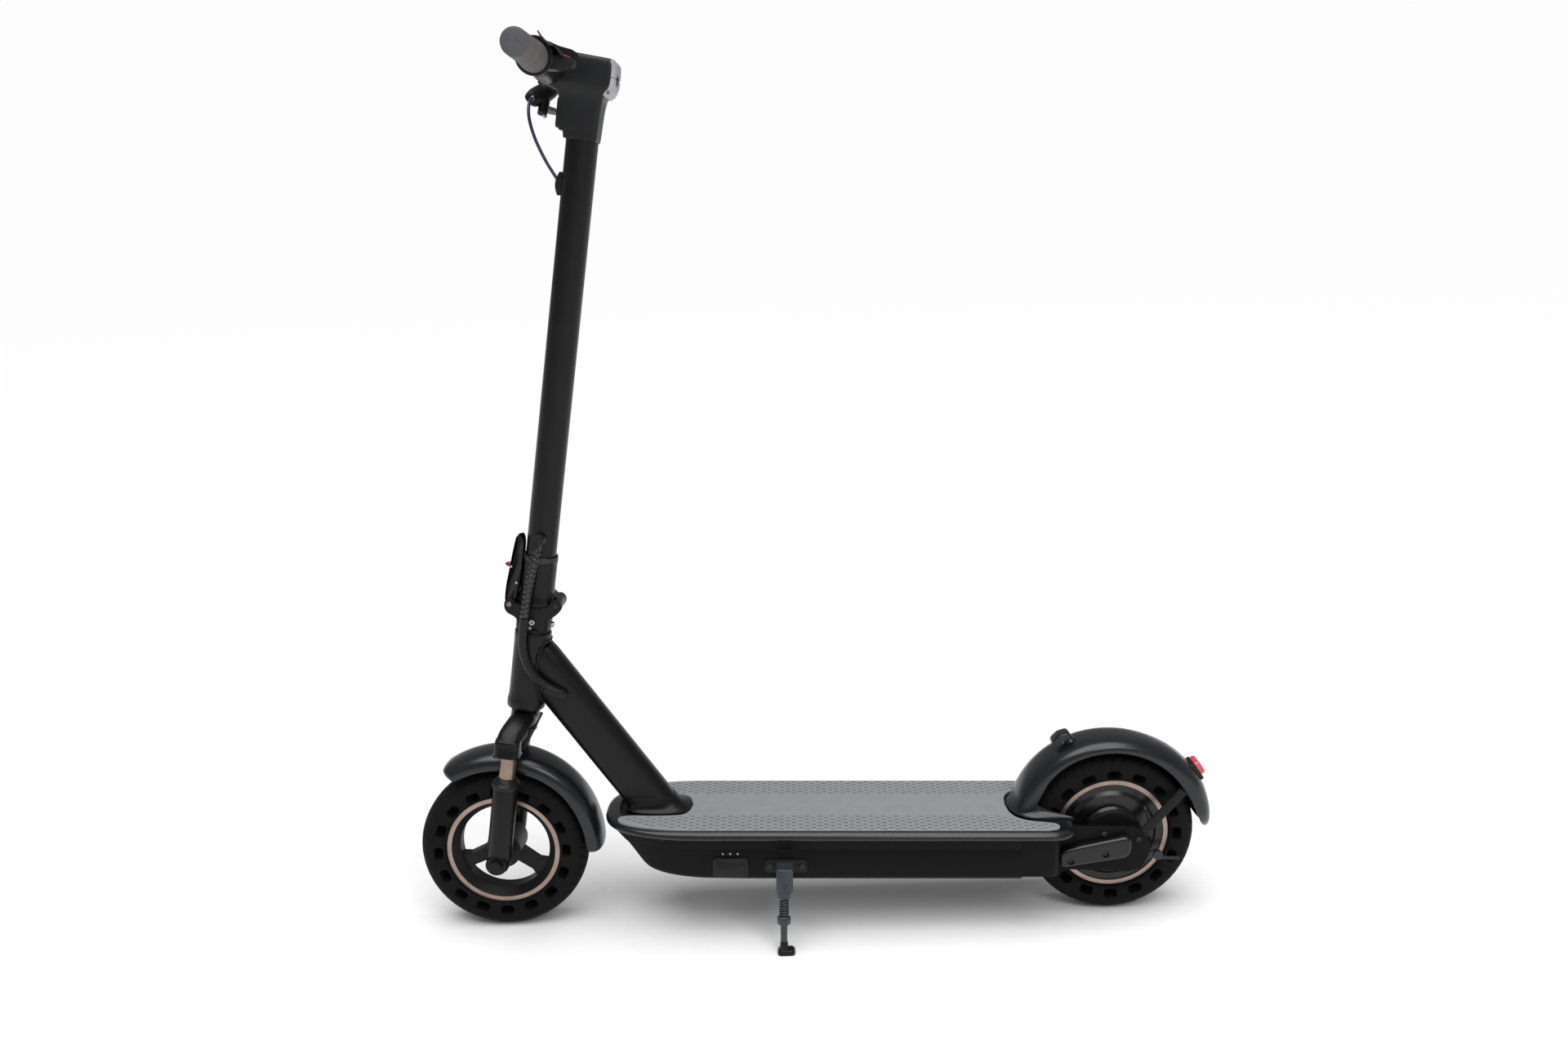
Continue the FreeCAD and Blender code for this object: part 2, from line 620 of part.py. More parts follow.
def throttle_paddle():
    """A ring that turns on the bar, with a blade that reaches out over the grip for the thumb."""
    start, end = dim.paddle_ring_start, dim.paddle_ring_end
    piece = Piece("throttle_paddle", bar)
    inner = dim.bar_radius + dim.running_gap
    piece.pad("XZ", [circle(0, 0, dim.paddle_ring_radius)], start, end)
    root = [(-2, 18.5), (-14, 8), (-30, 5), (-46, 7.5), (-50, 11), (-48, 13), (-42, 16), (-25, 17.6),
            (-12, 21.8), (-4, 20)]
    piece.pad("XZ", [root], start, end)
    blade = [(-2.5, 30.5), (-9.5, 25.2), (-18.5, 20.4), (-24.2, 16.8), (-21.2, 14.4), (-16.6, 17.6),
             (-8.2, 22.6), (-0.5, 28.6)]
    piece.pad("XZ", [blade], start, dim.paddle_tip)
    return piece.cut("XZ", [circle(0, 0, inner)], start - 1, end + 1)


# The brake lever and its bracket lie in a plane that holds the bar and leans forward and down.
BRAKE_LEAN = 52
brake_frame = bar * at(turn=BRAKE_LEAN)


def brake_bracket():
    piece = Piece("brake_bracket", brake_frame)
    piece.turn("XY", [box(dim.bar_radius, 20, -101, -86)])
    arm = [(18, -101), (32, -103), (46, -97), (54, -72), (54, -56), (42, -56), (36, -72), (18, -86)]
    piece.pad("XY", [arm], -7, 7)
    barrel = circle(48, 0, 4.2)
    piece.pad("XZ", [barrel], -60, -40)
    slot = [(34, -112), (50, -112), (50, -80), (34, -80)]
    piece.cut("XY", [slot], -3.6, 3.6)
    return piece.pad("XY", [circle(dim.lever_pivot_x, dim.lever_pivot_y, dim.lever_pin_radius)], -7.4, 7.4)


def brake_lever():
    piece = Piece("brake_lever", brake_frame)
    blade = [(37, -84), (45, -84), (47, -94), (56, -108), (57, -150), (54, -212), (50, -216), (46, -212),
             (47, -150), (46, -112), (38, -98)]
    piece.pad("XY", [blade], -3.2, 3.2)
    wide = [(56, -112), (57, -150), (54, -212), (50, -216), (46, -212), (47, -150), (46, -112)]
    piece.pad("XY", [wide], -6, 6)
    x, y, pin = dim.lever_pivot_x, dim.lever_pivot_y, dim.lever_pin_radius
    piece.pad("XY", [circle(x, y, pin + 3)], -3.2, 3.2)
    return piece.cut("XY", [circle(x, y, pin + dim.running_gap)], -4, 4)


# ---- cables ----

def rounded_path(points):
    """Straight runs joined by tangent arcs as large as their runs allow."""
    edges, start = [], points[0]
    for before, corner, after in zip(points, points[1:], points[2:]):
        come, go = corner - before, after - corner
        turn = come.getAngle(go)
        back = 0.45 * min(come.Length, go.Length)
        radius = back / math.tan(turn / 2)
        print(f"    bend radius {radius:.1f}")
        inward, outward = Vector(come).normalize(), Vector(go).normalize()
        arc_start, arc_end = corner - inward * back, corner + outward * back
        bisector = (outward - inward).normalize()
        middle = corner + bisector * (radius / math.cos(turn / 2) - radius)
        edges.append(Part.LineSegment(start, arc_start).toShape())
        edges.append(Part.Arc(arc_start, middle, arc_end).toShape())
        start = arc_end
    edges.append(Part.LineSegment(start, points[-1]).toShape())
    return Part.Wire(edges)


def cable(label, points, radius, place):
    """A round cable along a path of hand-placed points."""
    path = rounded_path([Vector(*point) for point in points])
    first = path.Edges[0]
    start, heading = first.valueAt(first.FirstParameter), first.tangentAt(first.FirstParameter)
    section = Part.makeCircle(float(radius), start, heading)
    solid = path.makePipeShell([Part.Wire([section])], True, True)
    expected = math.pi * float(radius) ** 2 * path.Length
    print(f"  {label}: length {path.Length:.1f}, volume over section times length"
          f" {solid.Volume / expected:.4f}")
    return shaped(label, solid, place)


LOOM_UPPER = [(0, 27.2, 489), (1, 34, 474), (3, 37.5, 452), (6, 38, 424), (8, 37, 396), (9, 35, 372)]
LOOM_LOWER = [(9, 35, 371.2), (10, 33.5, 346), (7, 33, 320), (-4, 32.5, 294), (-26, 31, 273),
              (-54, 28, 262)]


# ---- frame ----

# The down tube's upper and lower edges, seen from the side in the steering frame.
TUBE_SIDE = [(-8, 336), (-24, 336), (-252.5, 97.3), (-175.2, 86.4), (-27.6, 236.9), (-8, 236.9)]
# Its hollow is a cross: the first shape is as high as the walls allow, and the second as wide.
TUBE_BORE = [(-8, 332.5), (-22.5, 332.5), (-260.4, 84.1), (-188.2, 78.1), (-30.1, 239.3), (-8, 240.4)]
TUBE_WAIST = [(-8, 323), (-18.5, 323), (-253.5, 77.5), (-208, 71.5), (-36.9, 246), (-8, 250)]


def down_tube():
    piece = Piece("down_tube", steer).pad("XZ", [TUBE_SIDE], -22, 22)
    along = Vector(231, 0, 240).normalize()
    piece.round_edges(13, runs_along(along))
    piece.cut("XY", [circle(0, 0, dim.head_radius)], 200, 360)
    piece.cut("XZ", [TUBE_BORE], -9, 9)
    return piece.cut("XZ", [TUBE_WAIST], -18.5, 18.5)


def tube_cowl():
    """The raised collar where the down tube enters the deck."""
    piece = Piece("tube_cowl", deck)
    low = -dim.mat_thickness
    plan = both_sides([(257, 14), (246, 30), (225, 33), (150, 30), (137, 12)])
    piece.pad("XY", [plan], low, 24)
    slope = [(130, 40), (130, 8), (175, 22), (236, 24.5), (258, 6), (275, 6), (275, 40)]
    piece.cut("XZ", [slope], -40, 40)
    tube = [(146.6, -5), (178.6, 40), (258.9, 40), (225.9, -5)]
    return piece.cut("XZ", [tube], -22, 22)


def plan_half(width, nose):
    """One half of the deck's plan, from the nose to the back of the arms."""
    return [(nose, 30), (nose - 14, 52), (nose - 40, 72), (nose - 74, width - 6), (nose - 112, width),
            (dim.arm_end, width)]


def deck_chassis():
    """The deck's tray, with two arms beside the rear wheel."""
    piece = Piece("deck_chassis", deck)
    top, low, half = -dim.mat_thickness, -dim.deck_depth, dim.deck_half_width
    notch = [(dim.arm_end, dim.notch_half_width), (dim.notch_front - 8, dim.notch_half_width),
             (dim.notch_front, dim.notch_half_width - 8)]
    piece.pad("XY", [both_sides(plan_half(half, 258) + notch)], low, top)
    wall = half - dim.deck_wall
    roof = top - dim.deck_wall
    piece.cut("XY", [box(dim.notch_front + dim.deck_wall, 112, -wall, wall)], low - 1, roof)
    well = box(dim.arm_end + 5, dim.notch_front - 8, dim.notch_half_width + 5, wall)
    piece.cut("XY", [well], low - 1, roof).mirror()
    under = [(124, -90), (124, -74), (190, -58), (222, -44), (262, -13), (280, -13), (280, -90)]
    piece.cut("XZ", [under], -100, 100)
    return piece.cut("XZ", [circle(dim.port_x, dim.port_z, 11)], wall - 1, half + 1)


def deck_trim():
    """The dark rim that runs round the deck's edge, open at the back."""
    outer = plan_half(dim.trim_half_width, 264)
    inner = plan_half(dim.deck_half_width, 258)
    right = [(x, -as_size(y)) for x, y in outer]
    right_inner = [(x, -as_size(y)) for x, y in inner]
    band = list(reversed(outer)) + right + list(reversed(right_inner)) + inner
    low = -dim.trim_depth - 1
    return Piece("deck_trim", deck).pad("XY", [band], low, -1).round_edges(1, lies_in("Z", -1))


def deck_mat():
    edge = dim.deck_half_width - 2
    half = [(135, 0), (135, 34), (222, 36), (240, 40), (236, 52), (210, 70), (182, 78), (150, edge),
            (-350, edge), (-392, 80), (-399, 70), (-394, 58), (-370, 49), (-350, 44), (-336, 36),
            (-327, 20), (-327, 0)]
    return Piece("deck_mat", deck).pad("XY", [both_sides(half)], -dim.mat_thickness, 0)


def deck_bottom_cover():
    low = -dim.deck_depth
    plate = box(dim.notch_front + 3, 122, -dim.deck_half_width + 1, dim.deck_half_width - 1)
    return Piece("deck_bottom_cover", deck).pad("XY", [plate], low - dim.cover_thickness, low)


def battery_pack():
    return Piece("battery_pack", deck).pad("XY", [box(-330, 20, -60, 60)], -72, -14)


def motor_controller():
    return Piece("motor_controller", deck).pad("XY", [box(34, 106, -42, 42)], -52, -12)


def charge_port():
    x, z, face = dim.port_x, dim.port_z, dim.deck_half_width
    piece = Piece("charge_port", deck).pad("XZ", [circle(x, z, 11)], face - 18, face)
    return piece.cut("XZ", [circle(x, z, dim.socket_radius)], face - dim.socket_depth, face + 1)


def charge_flap():
    face, half = dim.deck_half_width + 0.35, dim.flap_width / 2
    plate = box(dim.port_x - half, dim.port_x + half, -dim.flap_height - 42, -42)
    piece = Piece("charge_flap", deck).pad("XZ", [plate], face, face + dim.flap_thickness)
    piece.round_edges(4, runs_along(Y_AXIS))
    bead = circle(dim.deck_half_width + 1.65, -42, 1.3)
    return piece.pad("YZ", [bead], dim.port_x - half + 4, dim.port_x + half - 4)


PLATE_SIDE = [(-402.2, -4), (-512, -5), (-523, -13), (-533, -28), (-534, -48), (-525, -69), (-508, -76),
              (-402.2, -72)]
COVER_SIDE = [(-405, -62), (-404, -49), (-411, -43), (-490, -21), (-502, -24), (-508, -34), (-506, -49),
              (-497, -54), (-424, -68), (-411, -68)]


def side_plates():
    """The plates beside the rear wheel, which carry its axle."""
    inner, outer = dim.plate_inner, dim.plate_outer
    piece = Piece("side_plates", deck).pad("XZ", [PLATE_SIDE], inner, outer).mirror()
    hub = circle(dim.rear_axle_deck_x, dim.rear_axle_deck_z, dim.axle_radius)
    return piece.cut("XZ", [hub], -outer - 1, outer + 1)


def axle_covers():
    """Moulded covers over the axle nuts."""
    low, high = dim.plate_outer, dim.plate_outer + dim.axle_cover_depth
    piece = Piece("axle_covers", deck).pad("XZ", [COVER_SIDE], low, high)
    piece.round_edges(3.5, lies_in("Y", high)).pad("XZ", [COVER_SIDE], -high, -low)
    piece.round_edges(3.5, lies_in("Y", -high))
    well = [circle(dim.rear_axle_deck_x, dim.rear_axle_deck_z, dim.axle_nut_radius + 0.5)]
    piece.cut("XZ", well, low - 1, high - 2)
    return piece.cut("XZ", well, -high + 2, -low + 1)


fender_centre = rear_wheel * at(5, 0, 3)


def rear_fender():
    return fender("rear_fender", fender_centre * at(turn=-13.8), dim.rear_fender_half_width, 164)


def fender_stays():
    """Flat strips from the side plates back and up to the fender."""
    lean = at(-522, 0, -22, -46)
    length = 84
    strip = [(0, 52.6), (length, 36.2), (length, 39), (0, 55.6)]
    flipped = deck * lean * at(turn=-90)
    return Piece("fender_stays", flipped).pad("XY", [strip], -7, 7).mirror()


def fold_hook():
    """The mushroom-shaped catch on the fender for the folded stem."""
    crown = dim.fender_outer
    piece = Piece("fold_hook", fender_centre * at(turn=-66.5))
    piece.pad("YZ", [circle(0, 0, 7)], crown, crown + 9)
    piece.pad("YZ", [circle(0, 0, 13)], crown + 9, crown + 15)
    return piece.round_edges(2, lies_in("X", crown + 15))


def tail_lamp():
    """The red lamp on the fender's back."""
    crown = dim.fender_outer
    piece = Piece("tail_lamp", fender_centre * at(turn=-146.3))
    piece.pad("YZ", [box(-15, 15, -12, 12)], crown, crown + 11)
    return piece.round_edges(4, runs_along(X_AXIS)).round_edges(2, lies_in("X", crown + 11))


def brake_arm():
    """The drum brake's lever at the rear hub, with its cable clamp."""
    piece = Piece("brake_arm", deck)
    low, high = dim.hub_dome_half_width + 8, dim.hub_dome_half_width + 13
    x, z = -512, -60
    arm = [(x + 8, z - 6), (x + 8, z + 7), (x - 38, z + 7), (x - 46, z + 4), (x - 46, z - 2)]
    piece.pad("XZ", [arm], low, high)
    piece.pad("XZ", [circle(x - 40, z + 2, 7)], low - 2, high + 2)
    return piece.cut("XZ", [circle(x, z, dim.running_gap + 3)], low - 1, high + 1)


def drum_plate():
    """The fixed backing plate of the drum brake, with the cam's pivot."""
    low = dim.hub_dome_half_width + 0.6
    piece = Piece("drum_plate", deck)
    x, z = dim.rear_axle_deck_x, dim.rear_axle_deck_z
    piece.pad("XZ", [circle(x, z, 44)], low, low + 5).round_edges(2, lies_in("Y", low + 5))
    piece.pad("XZ", [circle(-512, -60, 3)], low + 5, low + 14)
    return piece.cut("XZ", [circle(x, z, dim.axle_radius)], low - 1, low + 6)


def kickstand_bracket():
    face = dim.deck_half_width
    piece = Piece("kickstand_bracket", deck)
    piece.pad("XZ", [box(-34, 28, -64, -44)], face, face + 4).round_edges(5, runs_along(Y_AXIS))
    block = [(-12, -50), (-12, -80), (-6, -87), (6, -87), (12, -80), (12, -50)]
    piece.pad("XZ", [block], face, dim.stand_eye_inner - 0.5)
    bolt = circle(dim.stand_x, dim.stand_pivot_z, dim.stand_bolt_radius)
    piece.pad("XZ", [bolt], face + 5, dim.stand_eye_outer + 0.4)
    head = circle(dim.stand_x, dim.stand_pivot_z, 7.5)
    return piece.pad("XZ", [head], dim.stand_eye_outer + 0.4, dim.stand_eye_outer + 4)


def kickstand_leg():
    piece = Piece("kickstand_leg", deck)
    x, z = dim.stand_x, dim.stand_pivot_z
    piece.pad("XZ", [circle(x, z, dim.stand_eye_radius)], dim.stand_eye_inner, dim.stand_eye_outer)
    rod = [(98.5, -78), (108.5, -78), (122, -167), (112, -167)]
    piece.pad("YZ", [rod], -dim.stand_rod_radius, dim.stand_rod_radius)
    collar = [(97.5, -86), (112, -86), (113.5, -96), (99, -96)]
    piece.pad("YZ", [collar], -10, 10)
    nut = [(103.5, -120), (117.5, -120), (119.7, -133), (105.7, -133)]
    piece.pad("YZ", [nut], -9, 9)
    bolt = circle(x, z, dim.stand_bolt_radius + dim.running_gap)
    return piece.cut("XZ", [bolt], dim.stand_eye_inner - 1, dim.stand_eye_outer + 1)


def kickstand_foot():
    """The rubber foot, flat on the ground."""
    top = deck.multVec(Vector(dim.stand_x.value, 117, -167))
    piece = Piece("kickstand_foot", at(top.x, top.y, 0))
    return piece.pad("XY", [box(-16, 9, -9, 9)], 0, 6.5).round_edges(3, runs_along(Z_AXIS))


def frame_screws():
    """Bolt heads on the side plates and the kickstand's bracket."""
    piece = Piece("frame_screws", deck)
    face = dim.plate_outer
    for x, z in ((-466, -13.5), (-519, -30)):
        piece.pad("XZ", [circle(x, z, 4)], face, face + 3)
        piece.pad("XZ", [circle(x, z, 4)], -face - 3, -face)
    face = dim.deck_half_width + 4
    for x in (-26, 20):
        piece.pad("XZ", [circle(x, -54, 4)], face, face + 2.5)
    return piece


def headlight():
    """The slim lamp on the neck's front."""
    z = dim.bar_height
    plate = [(33.3, z - 74), (36.5, z - 73), (35, z - 34), (32.2, z - 33)]
    return Piece("headlight", steer).pad("XZ", [plate], -14, 14)


BRAKE_CABLE = [(78.5, -39.2, 1076.1), (79, -22, 1072), (76, -8, 1052), (65, -3, 1026), (47, -1, 998),
               (31, 0, 979), (23.4, 0, 970.4)]

front_rim()
honeycomb_tyre("front_tyre", front_wheel)
rim_rings("front_rim_ring", front_wheel)
front_bearings()
axle("front_axle", front_wheel, dim.leg_spacing + dim.leg_radius + dim.axle_nut_height,
     dim.leg_spacing + dim.leg_radius)
honeycomb_tyre("rear_tyre", rear_wheel)
rim_rings("rear_rim_ring", rear_wheel)
rear_hub()
motor_stator()
axle("rear_axle", rear_wheel, dim.plate_outer + dim.axle_nut_height, dim.plate_outer)
lower_legs()
stanchions()
fork_springs()
fork_crown()
steerer()
front_fender()
headset_bearings()
head_tube()
fold_base()
fold_pins()
fold_sleeve()
latch_lever()
latch_button()
stem_tube()
head_housing()
display_cover()
power_button()
handlebar()
grips()
throttle_ring()
switch_button()
throttle_paddle()
brake_bracket()
brake_lever()
headlight()
down_tube()
tube_cowl()
deck_chassis()
deck_trim()
deck_mat()
deck_bottom_cover()
battery_pack()
motor_controller()
charge_port()
charge_flap()
side_plates()
axle_covers()
rear_fender()
fender_stays()
fold_hook()
tail_lamp()
drum_plate()
brake_arm()
kickstand_bracket()
kickstand_leg()
kickstand_foot()
frame_screws()
cable("loom_upper", LOOM_UPPER, dim.loom_radius, steer)
cable("loom_lower", LOOM_LOWER, dim.loom_radius, steer)
cable("brake_cable", BRAKE_CABLE, dim.brake_cable_radius, steer)
doc.recompute()

faults = [made.Name for made in doc.Objects if set(made.State) & {"Invalid", "Error"}]
for node in nodes:
    if node.Shape.isNull() or not node.Shape.isValid():
        faults.append(node.Label)
if faults:
    raise ValueError(f"failed objects: {faults}")
whole = Part.makeCompound([node.Shape for node in nodes]).BoundBox
print(f"{len(nodes)} sub-parts; x {whole.XMin:.2f} to {whole.XMax:.2f},"
      f" y {whole.YMin:.2f} to {whole.YMax:.2f}, z {whole.ZMin:.2f} to {whole.ZMax:.2f}")
for node in nodes:
    node.Shape.exportStep(f"parts/{node.Label}.step")
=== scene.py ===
"""Electric kick scooter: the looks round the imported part. Metres, in the part's own frame."""
import math
import random

import bmesh
import bpy
from mathutils import Matrix, Vector


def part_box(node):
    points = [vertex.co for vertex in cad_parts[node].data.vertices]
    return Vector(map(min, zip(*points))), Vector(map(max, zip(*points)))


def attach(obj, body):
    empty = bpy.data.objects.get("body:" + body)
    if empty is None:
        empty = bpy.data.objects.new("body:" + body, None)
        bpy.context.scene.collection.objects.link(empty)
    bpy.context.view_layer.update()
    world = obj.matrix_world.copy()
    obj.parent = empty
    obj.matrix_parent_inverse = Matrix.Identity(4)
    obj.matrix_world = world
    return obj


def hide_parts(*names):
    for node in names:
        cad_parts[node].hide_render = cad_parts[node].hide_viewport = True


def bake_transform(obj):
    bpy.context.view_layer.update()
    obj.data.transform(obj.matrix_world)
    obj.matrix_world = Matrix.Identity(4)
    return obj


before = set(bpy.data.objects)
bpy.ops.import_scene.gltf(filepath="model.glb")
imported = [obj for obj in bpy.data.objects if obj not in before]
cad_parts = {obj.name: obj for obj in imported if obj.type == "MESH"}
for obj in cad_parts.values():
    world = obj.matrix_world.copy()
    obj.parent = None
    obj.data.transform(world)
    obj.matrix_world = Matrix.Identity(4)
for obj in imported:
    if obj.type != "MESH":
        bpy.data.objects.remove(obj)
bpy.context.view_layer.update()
scene = bpy.context.scene
MM = 0.001


# ---- frames of the scooter's parts, in millimetres ----

def centre_of(node):
    low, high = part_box(node)
    return (low + high) / 2


def turned(degrees, axis="Y"):
    return Matrix.Rotation(math.radians(degrees), 4, axis)


def shifted(x=0.0, y=0.0, z=0.0):
    return Matrix.Translation((x, y, z))


RAKE = 9.85          # how far the steering axis leans back, in degrees
FORK_OFFSET = 8.5    # the front axle is this far ahead of the steering axis
NOSE_UP = 1.77       # how far the deck rises towards the front, in degrees
REAR_AXLE_IN_DECK = (-488, 0, -35)
to_metres = Matrix.Scale(MM, 4)
front_wheel = to_metres @ shifted(*(centre_of("front_tyre") / MM))
rear_wheel = to_metres @ shifted(*(centre_of("rear_tyre") / MM))
steer = front_wheel @ turned(-RAKE) @ shifted(-FORK_OFFSET)
deck = rear_wheel @ turned(-NOSE_UP) @ shifted(*(-c for c in REAR_AXLE_IN_DECK))
BAR_X, BAR_Z = 48.9, 1113.9
BRAKE_TURN = 52      # how far the brake's plane points down from straight ahead, in degrees
bar = steer @ shifted(BAR_X, 0, BAR_Z)
brake_plane = bar @ turned(BRAKE_TURN)    # the brake lever swings in this frame's plane


# ---- camera ----

CAMERA_IN_DECK, CAMERA_DOWN, LENS = (0, 1694, 836), 13.3, 28.125


def add_camera():
    data = bpy.data.cameras.new("camera")
    data.sensor_width, data.lens = 36, LENS
    data.clip_end = 50
    obj = bpy.data.objects.new("camera", data)
    scene.collection.objects.link(obj)
    down = math.radians(CAMERA_DOWN)
    right = Vector((-1, 0, 0))
    up = Vector((0, -math.sin(down), math.cos(down)))
    back = right.cross(up)
    turn = Matrix((right, up, back)).transposed()
    spot = deck @ Vector(CAMERA_IN_DECK)
    obj.matrix_world = Matrix.Translation(spot) @ (turned(-NOSE_UP).to_3x3() @ turn).to_4x4()
    scene.camera = obj


add_camera()


# ---- materials ----

def node(tree, kind, **inputs):
    made = tree.nodes.new(kind)
    for key, value in inputs.items():
        made.inputs[key.replace("_", " ")].default_value = value
    return made


PATCH_SCALE, ROUGH_SPREAD = 60, 0.06    # of the tone patches, which also carry the roughness
GRAIN_DEPTH = 0.0004                    # in metres


def finish(name, colour, rough, metal=0.0, tint=0.12, grain=900, bump=0.15, coat=0.0, coat_rough=0.2,
           specular=0.5, bevel=0.0):
    """A surface with fine grain, patches of slightly different tone, and uneven roughness."""
    made = bpy.data.materials.new(name)
    made.use_nodes = True
    tree = made.node_tree
    link = tree.links.new
    shader = tree.nodes["Principled BSDF"]
    for socket, value in (("Metallic", metal), ("Coat Weight", coat), ("Coat Roughness", coat_rough),
                          ("Specular IOR Level", specular)):
        shader.inputs[socket].default_value = value
    place = tree.nodes.new("ShaderNodeTexCoord").outputs["Object"]
    patches = node(tree, "ShaderNodeTexNoise", Scale=PATCH_SCALE, Detail=6.0, Roughness=0.6)
    link(place, patches.inputs["Vector"])
    ramp = tree.nodes.new("ShaderNodeValToRGB")
    dark = [c * (1 - tint) for c in colour] + [1]
    light = [min(1, c * (1 + tint)) for c in colour] + [1]
    for stop, position, shade in zip(ramp.color_ramp.elements, (0.35, 0.65), (dark, light)):
        stop.position, stop.color = position, shade
    link(patches.outputs["Fac"], ramp.inputs["Fac"])
    link(ramp.outputs["Color"], shader.inputs["Base Color"])
    spread = node(tree, "ShaderNodeMapRange")
    spread.inputs["To Min"].default_value = max(0.03, rough - ROUGH_SPREAD)
    spread.inputs["To Max"].default_value = min(1, rough + ROUGH_SPREAD)
    link(patches.outputs["Fac"], spread.inputs["Value"])
    link(spread.outputs["Result"], shader.inputs["Roughness"])
    grains = node(tree, "ShaderNodeTexNoise", Scale=grain, Detail=4.0, Roughness=0.55)
    link(place, grains.inputs["Vector"])
    relief = node(tree, "ShaderNodeBump", Strength=bump, Distance=GRAIN_DEPTH)
    link(grains.outputs["Fac"], relief.inputs["Height"])
    if bevel:
        soft = tree.nodes.new("ShaderNodeBevel")
        soft.samples = 4
        soft.inputs["Radius"].default_value = bevel * MM
        link(soft.outputs["Normal"], relief.inputs["Normal"])
    link(relief.outputs["Normal"], shader.inputs["Normal"])
    return made


LOOKS = {    # colour, roughness, and where it differs from a plain finish
    "tyre_rubber": ((0.0065, 0.0065, 0.007), 0.66, dict(grain=1500, bump=0.3, specular=0.08)),
    "black_paint": ((0.004, 0.0041, 0.0044), 0.31, dict(grain=1800, specular=0.22, bevel=1.0)),
    "deck_black": ((0.0035, 0.0035, 0.0035), 0.42, dict(grain=1800, specular=0.1, bevel=1.0)),
    "black_cast": ((0.0065, 0.0065, 0.007), 0.42, dict(grain=1400, bump=0.35, specular=0.18, bevel=0.8)),
    "rose_ring": ((0.36, 0.27, 0.225), 0.38, dict(metal=0.85, grain=700, bump=0.1, bevel=0.4)),
    "bronze": ((0.27, 0.2, 0.155), 0.32, dict(metal=0.9, grain=500, bump=0.08)),
    "steel": ((0.42, 0.42, 0.43), 0.30, dict(metal=1.0, grain=800, bump=0.1, bevel=0.3)),
    "dark_steel": ((0.03, 0.034, 0.042), 0.42, dict(metal=0.6, bump=0.2, bevel=0.5)),
    "black_plastic": ((0.006, 0.0064, 0.0073), 0.38, dict(grain=1600, bump=0.25, specular=0.28, bevel=0.5)),
    "fender_plastic": ((0.006, 0.0072, 0.0092), 0.26, dict(grain=1500, bump=0.08, specular=0.4, coat=0.12,
                                                             coat_rough=0.25)),
    "mat_grey": ((0.235, 0.243, 0.256), 0.72, dict(tint=0.04, grain=1300, bump=0.35, specular=0.2)),
    "soft_black": ((0.006, 0.006, 0.0065), 0.4, dict(grain=1500, bump=0.25, specular=0.25, bevel=0.5)),
    "grip_grey": ((0.11, 0.101, 0.095), 0.62, dict(grain=1300, bump=0.3, specular=0.25)),
    "cap_grey": ((0.082, 0.082, 0.09), 0.5, dict(grain=1300, bump=0.2, specular=0.25)),
    "wrap_black": ((0.006, 0.006, 0.007), 0.24, dict(grain=500)),
    "stand_grey": ((0.034, 0.04, 0.048), 0.36, dict(metal=0.3, bump=0.25, bevel=0.4)),
    "hub_black": ((0.0045, 0.0045, 0.005), 0.24, dict(bump=0.05, specular=0.4, bevel=0.6)),
    "cover_grey": ((0.33, 0.33, 0.355), 0.42, dict(grain=1300, bump=0.1, specular=0.35, bevel=0.6)),
    "red_plastic": ((0.28, 0.008, 0.014), 0.32, dict(grain=1300, bump=0.12, bevel=0.4)),
    "lamp_red": ((0.62, 0.05, 0.09), 0.16, dict(bump=0.06, coat=0.6, coat_rough=0.08)),
    "lamp_white": ((0.3, 0.3, 0.31), 0.12, dict(grain=700, bump=0.06, coat=0.6, coat_rough=0.05)),
    "cable_blue": ((0.014, 0.013, 0.05), 0.30, dict(grain=1500, bump=0.12)),
    "cell_pack": ((0.03, 0.08, 0.16), 0.4, dict(bump=0.12)),
    "copper": ((0.45, 0.2, 0.1), 0.34, dict(metal=1.0, bump=0.12)),
}
MATERIALS = {name: finish(name, colour, rough, **more) for name, (colour, rough, more) in LOOKS.items()}

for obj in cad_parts.values():
    for place in obj.material_slots:
        found = place.material.name.split(".")[0] if place.material else ""
        place.material = MATERIALS.get(found, MATERIALS["black_paint"])
for name, look in (("rear_hub", "hub_black"), ("front_axle", "black_cast"), ("rear_axle", "dark_steel")):
    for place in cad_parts[name].material_slots:
        place.material = MATERIALS[look]


# ---- shapes: most give (points, faces) in millimetres ----

def smooth_row(keys, per_span):
    """Points on a smooth curve through every key, which are tuples of any length."""
    row = []
    for i in range(len(keys) - 1):
        a, b, c, d = keys[max(i - 1, 0)], keys[i], keys[i + 1], keys[min(i + 2, len(keys) - 1)]
        for step in range(per_span):
            t = step / per_span
            row.append(tuple(
                0.5 * (2 * q + (r - p) * t + (2 * p - 5 * q + 4 * r - s) * t * t
                       + (3 * q - p - 3 * r + s) * t ** 3)
                for p, q, r, s in zip(a, b, c, d)))
    return row + [tuple(keys[-1])]


def rounded(outline, radius, steps=4):
    """The outline with its corners rounded. A radius may be given for each corner."""
    made = []
    count = len(outline)
    for i, corner in enumerate(outline):
        size = radius[i] if isinstance(radius, (list, tuple)) else radius
        here = Vector(corner)
        before, after = Vector(outline[i - 1]) - here, Vector(outline[(i + 1) % count]) - here
        reach = min(size, 0.48 * before.length, 0.48 * after.length)
        if reach < 0.05:
            made.append(tuple(here))
            continue
        start, end = here + before.normalized() * reach, here + after.normalized() * reach
        for step in range(steps + 1):
            t = step / steps
            made.append(tuple(start * (1 - t) ** 2 + here * 2 * t * (1 - t) + end * t * t))
    return made


def joined(*parts):
    """One part of all the parts' points and faces."""
    points, faces = [], []
    for more_points, more_faces in parts:
        first = len(points)
        points += more_points
        faces += [tuple(first + i for i in face) for face in more_faces]
    return points, faces


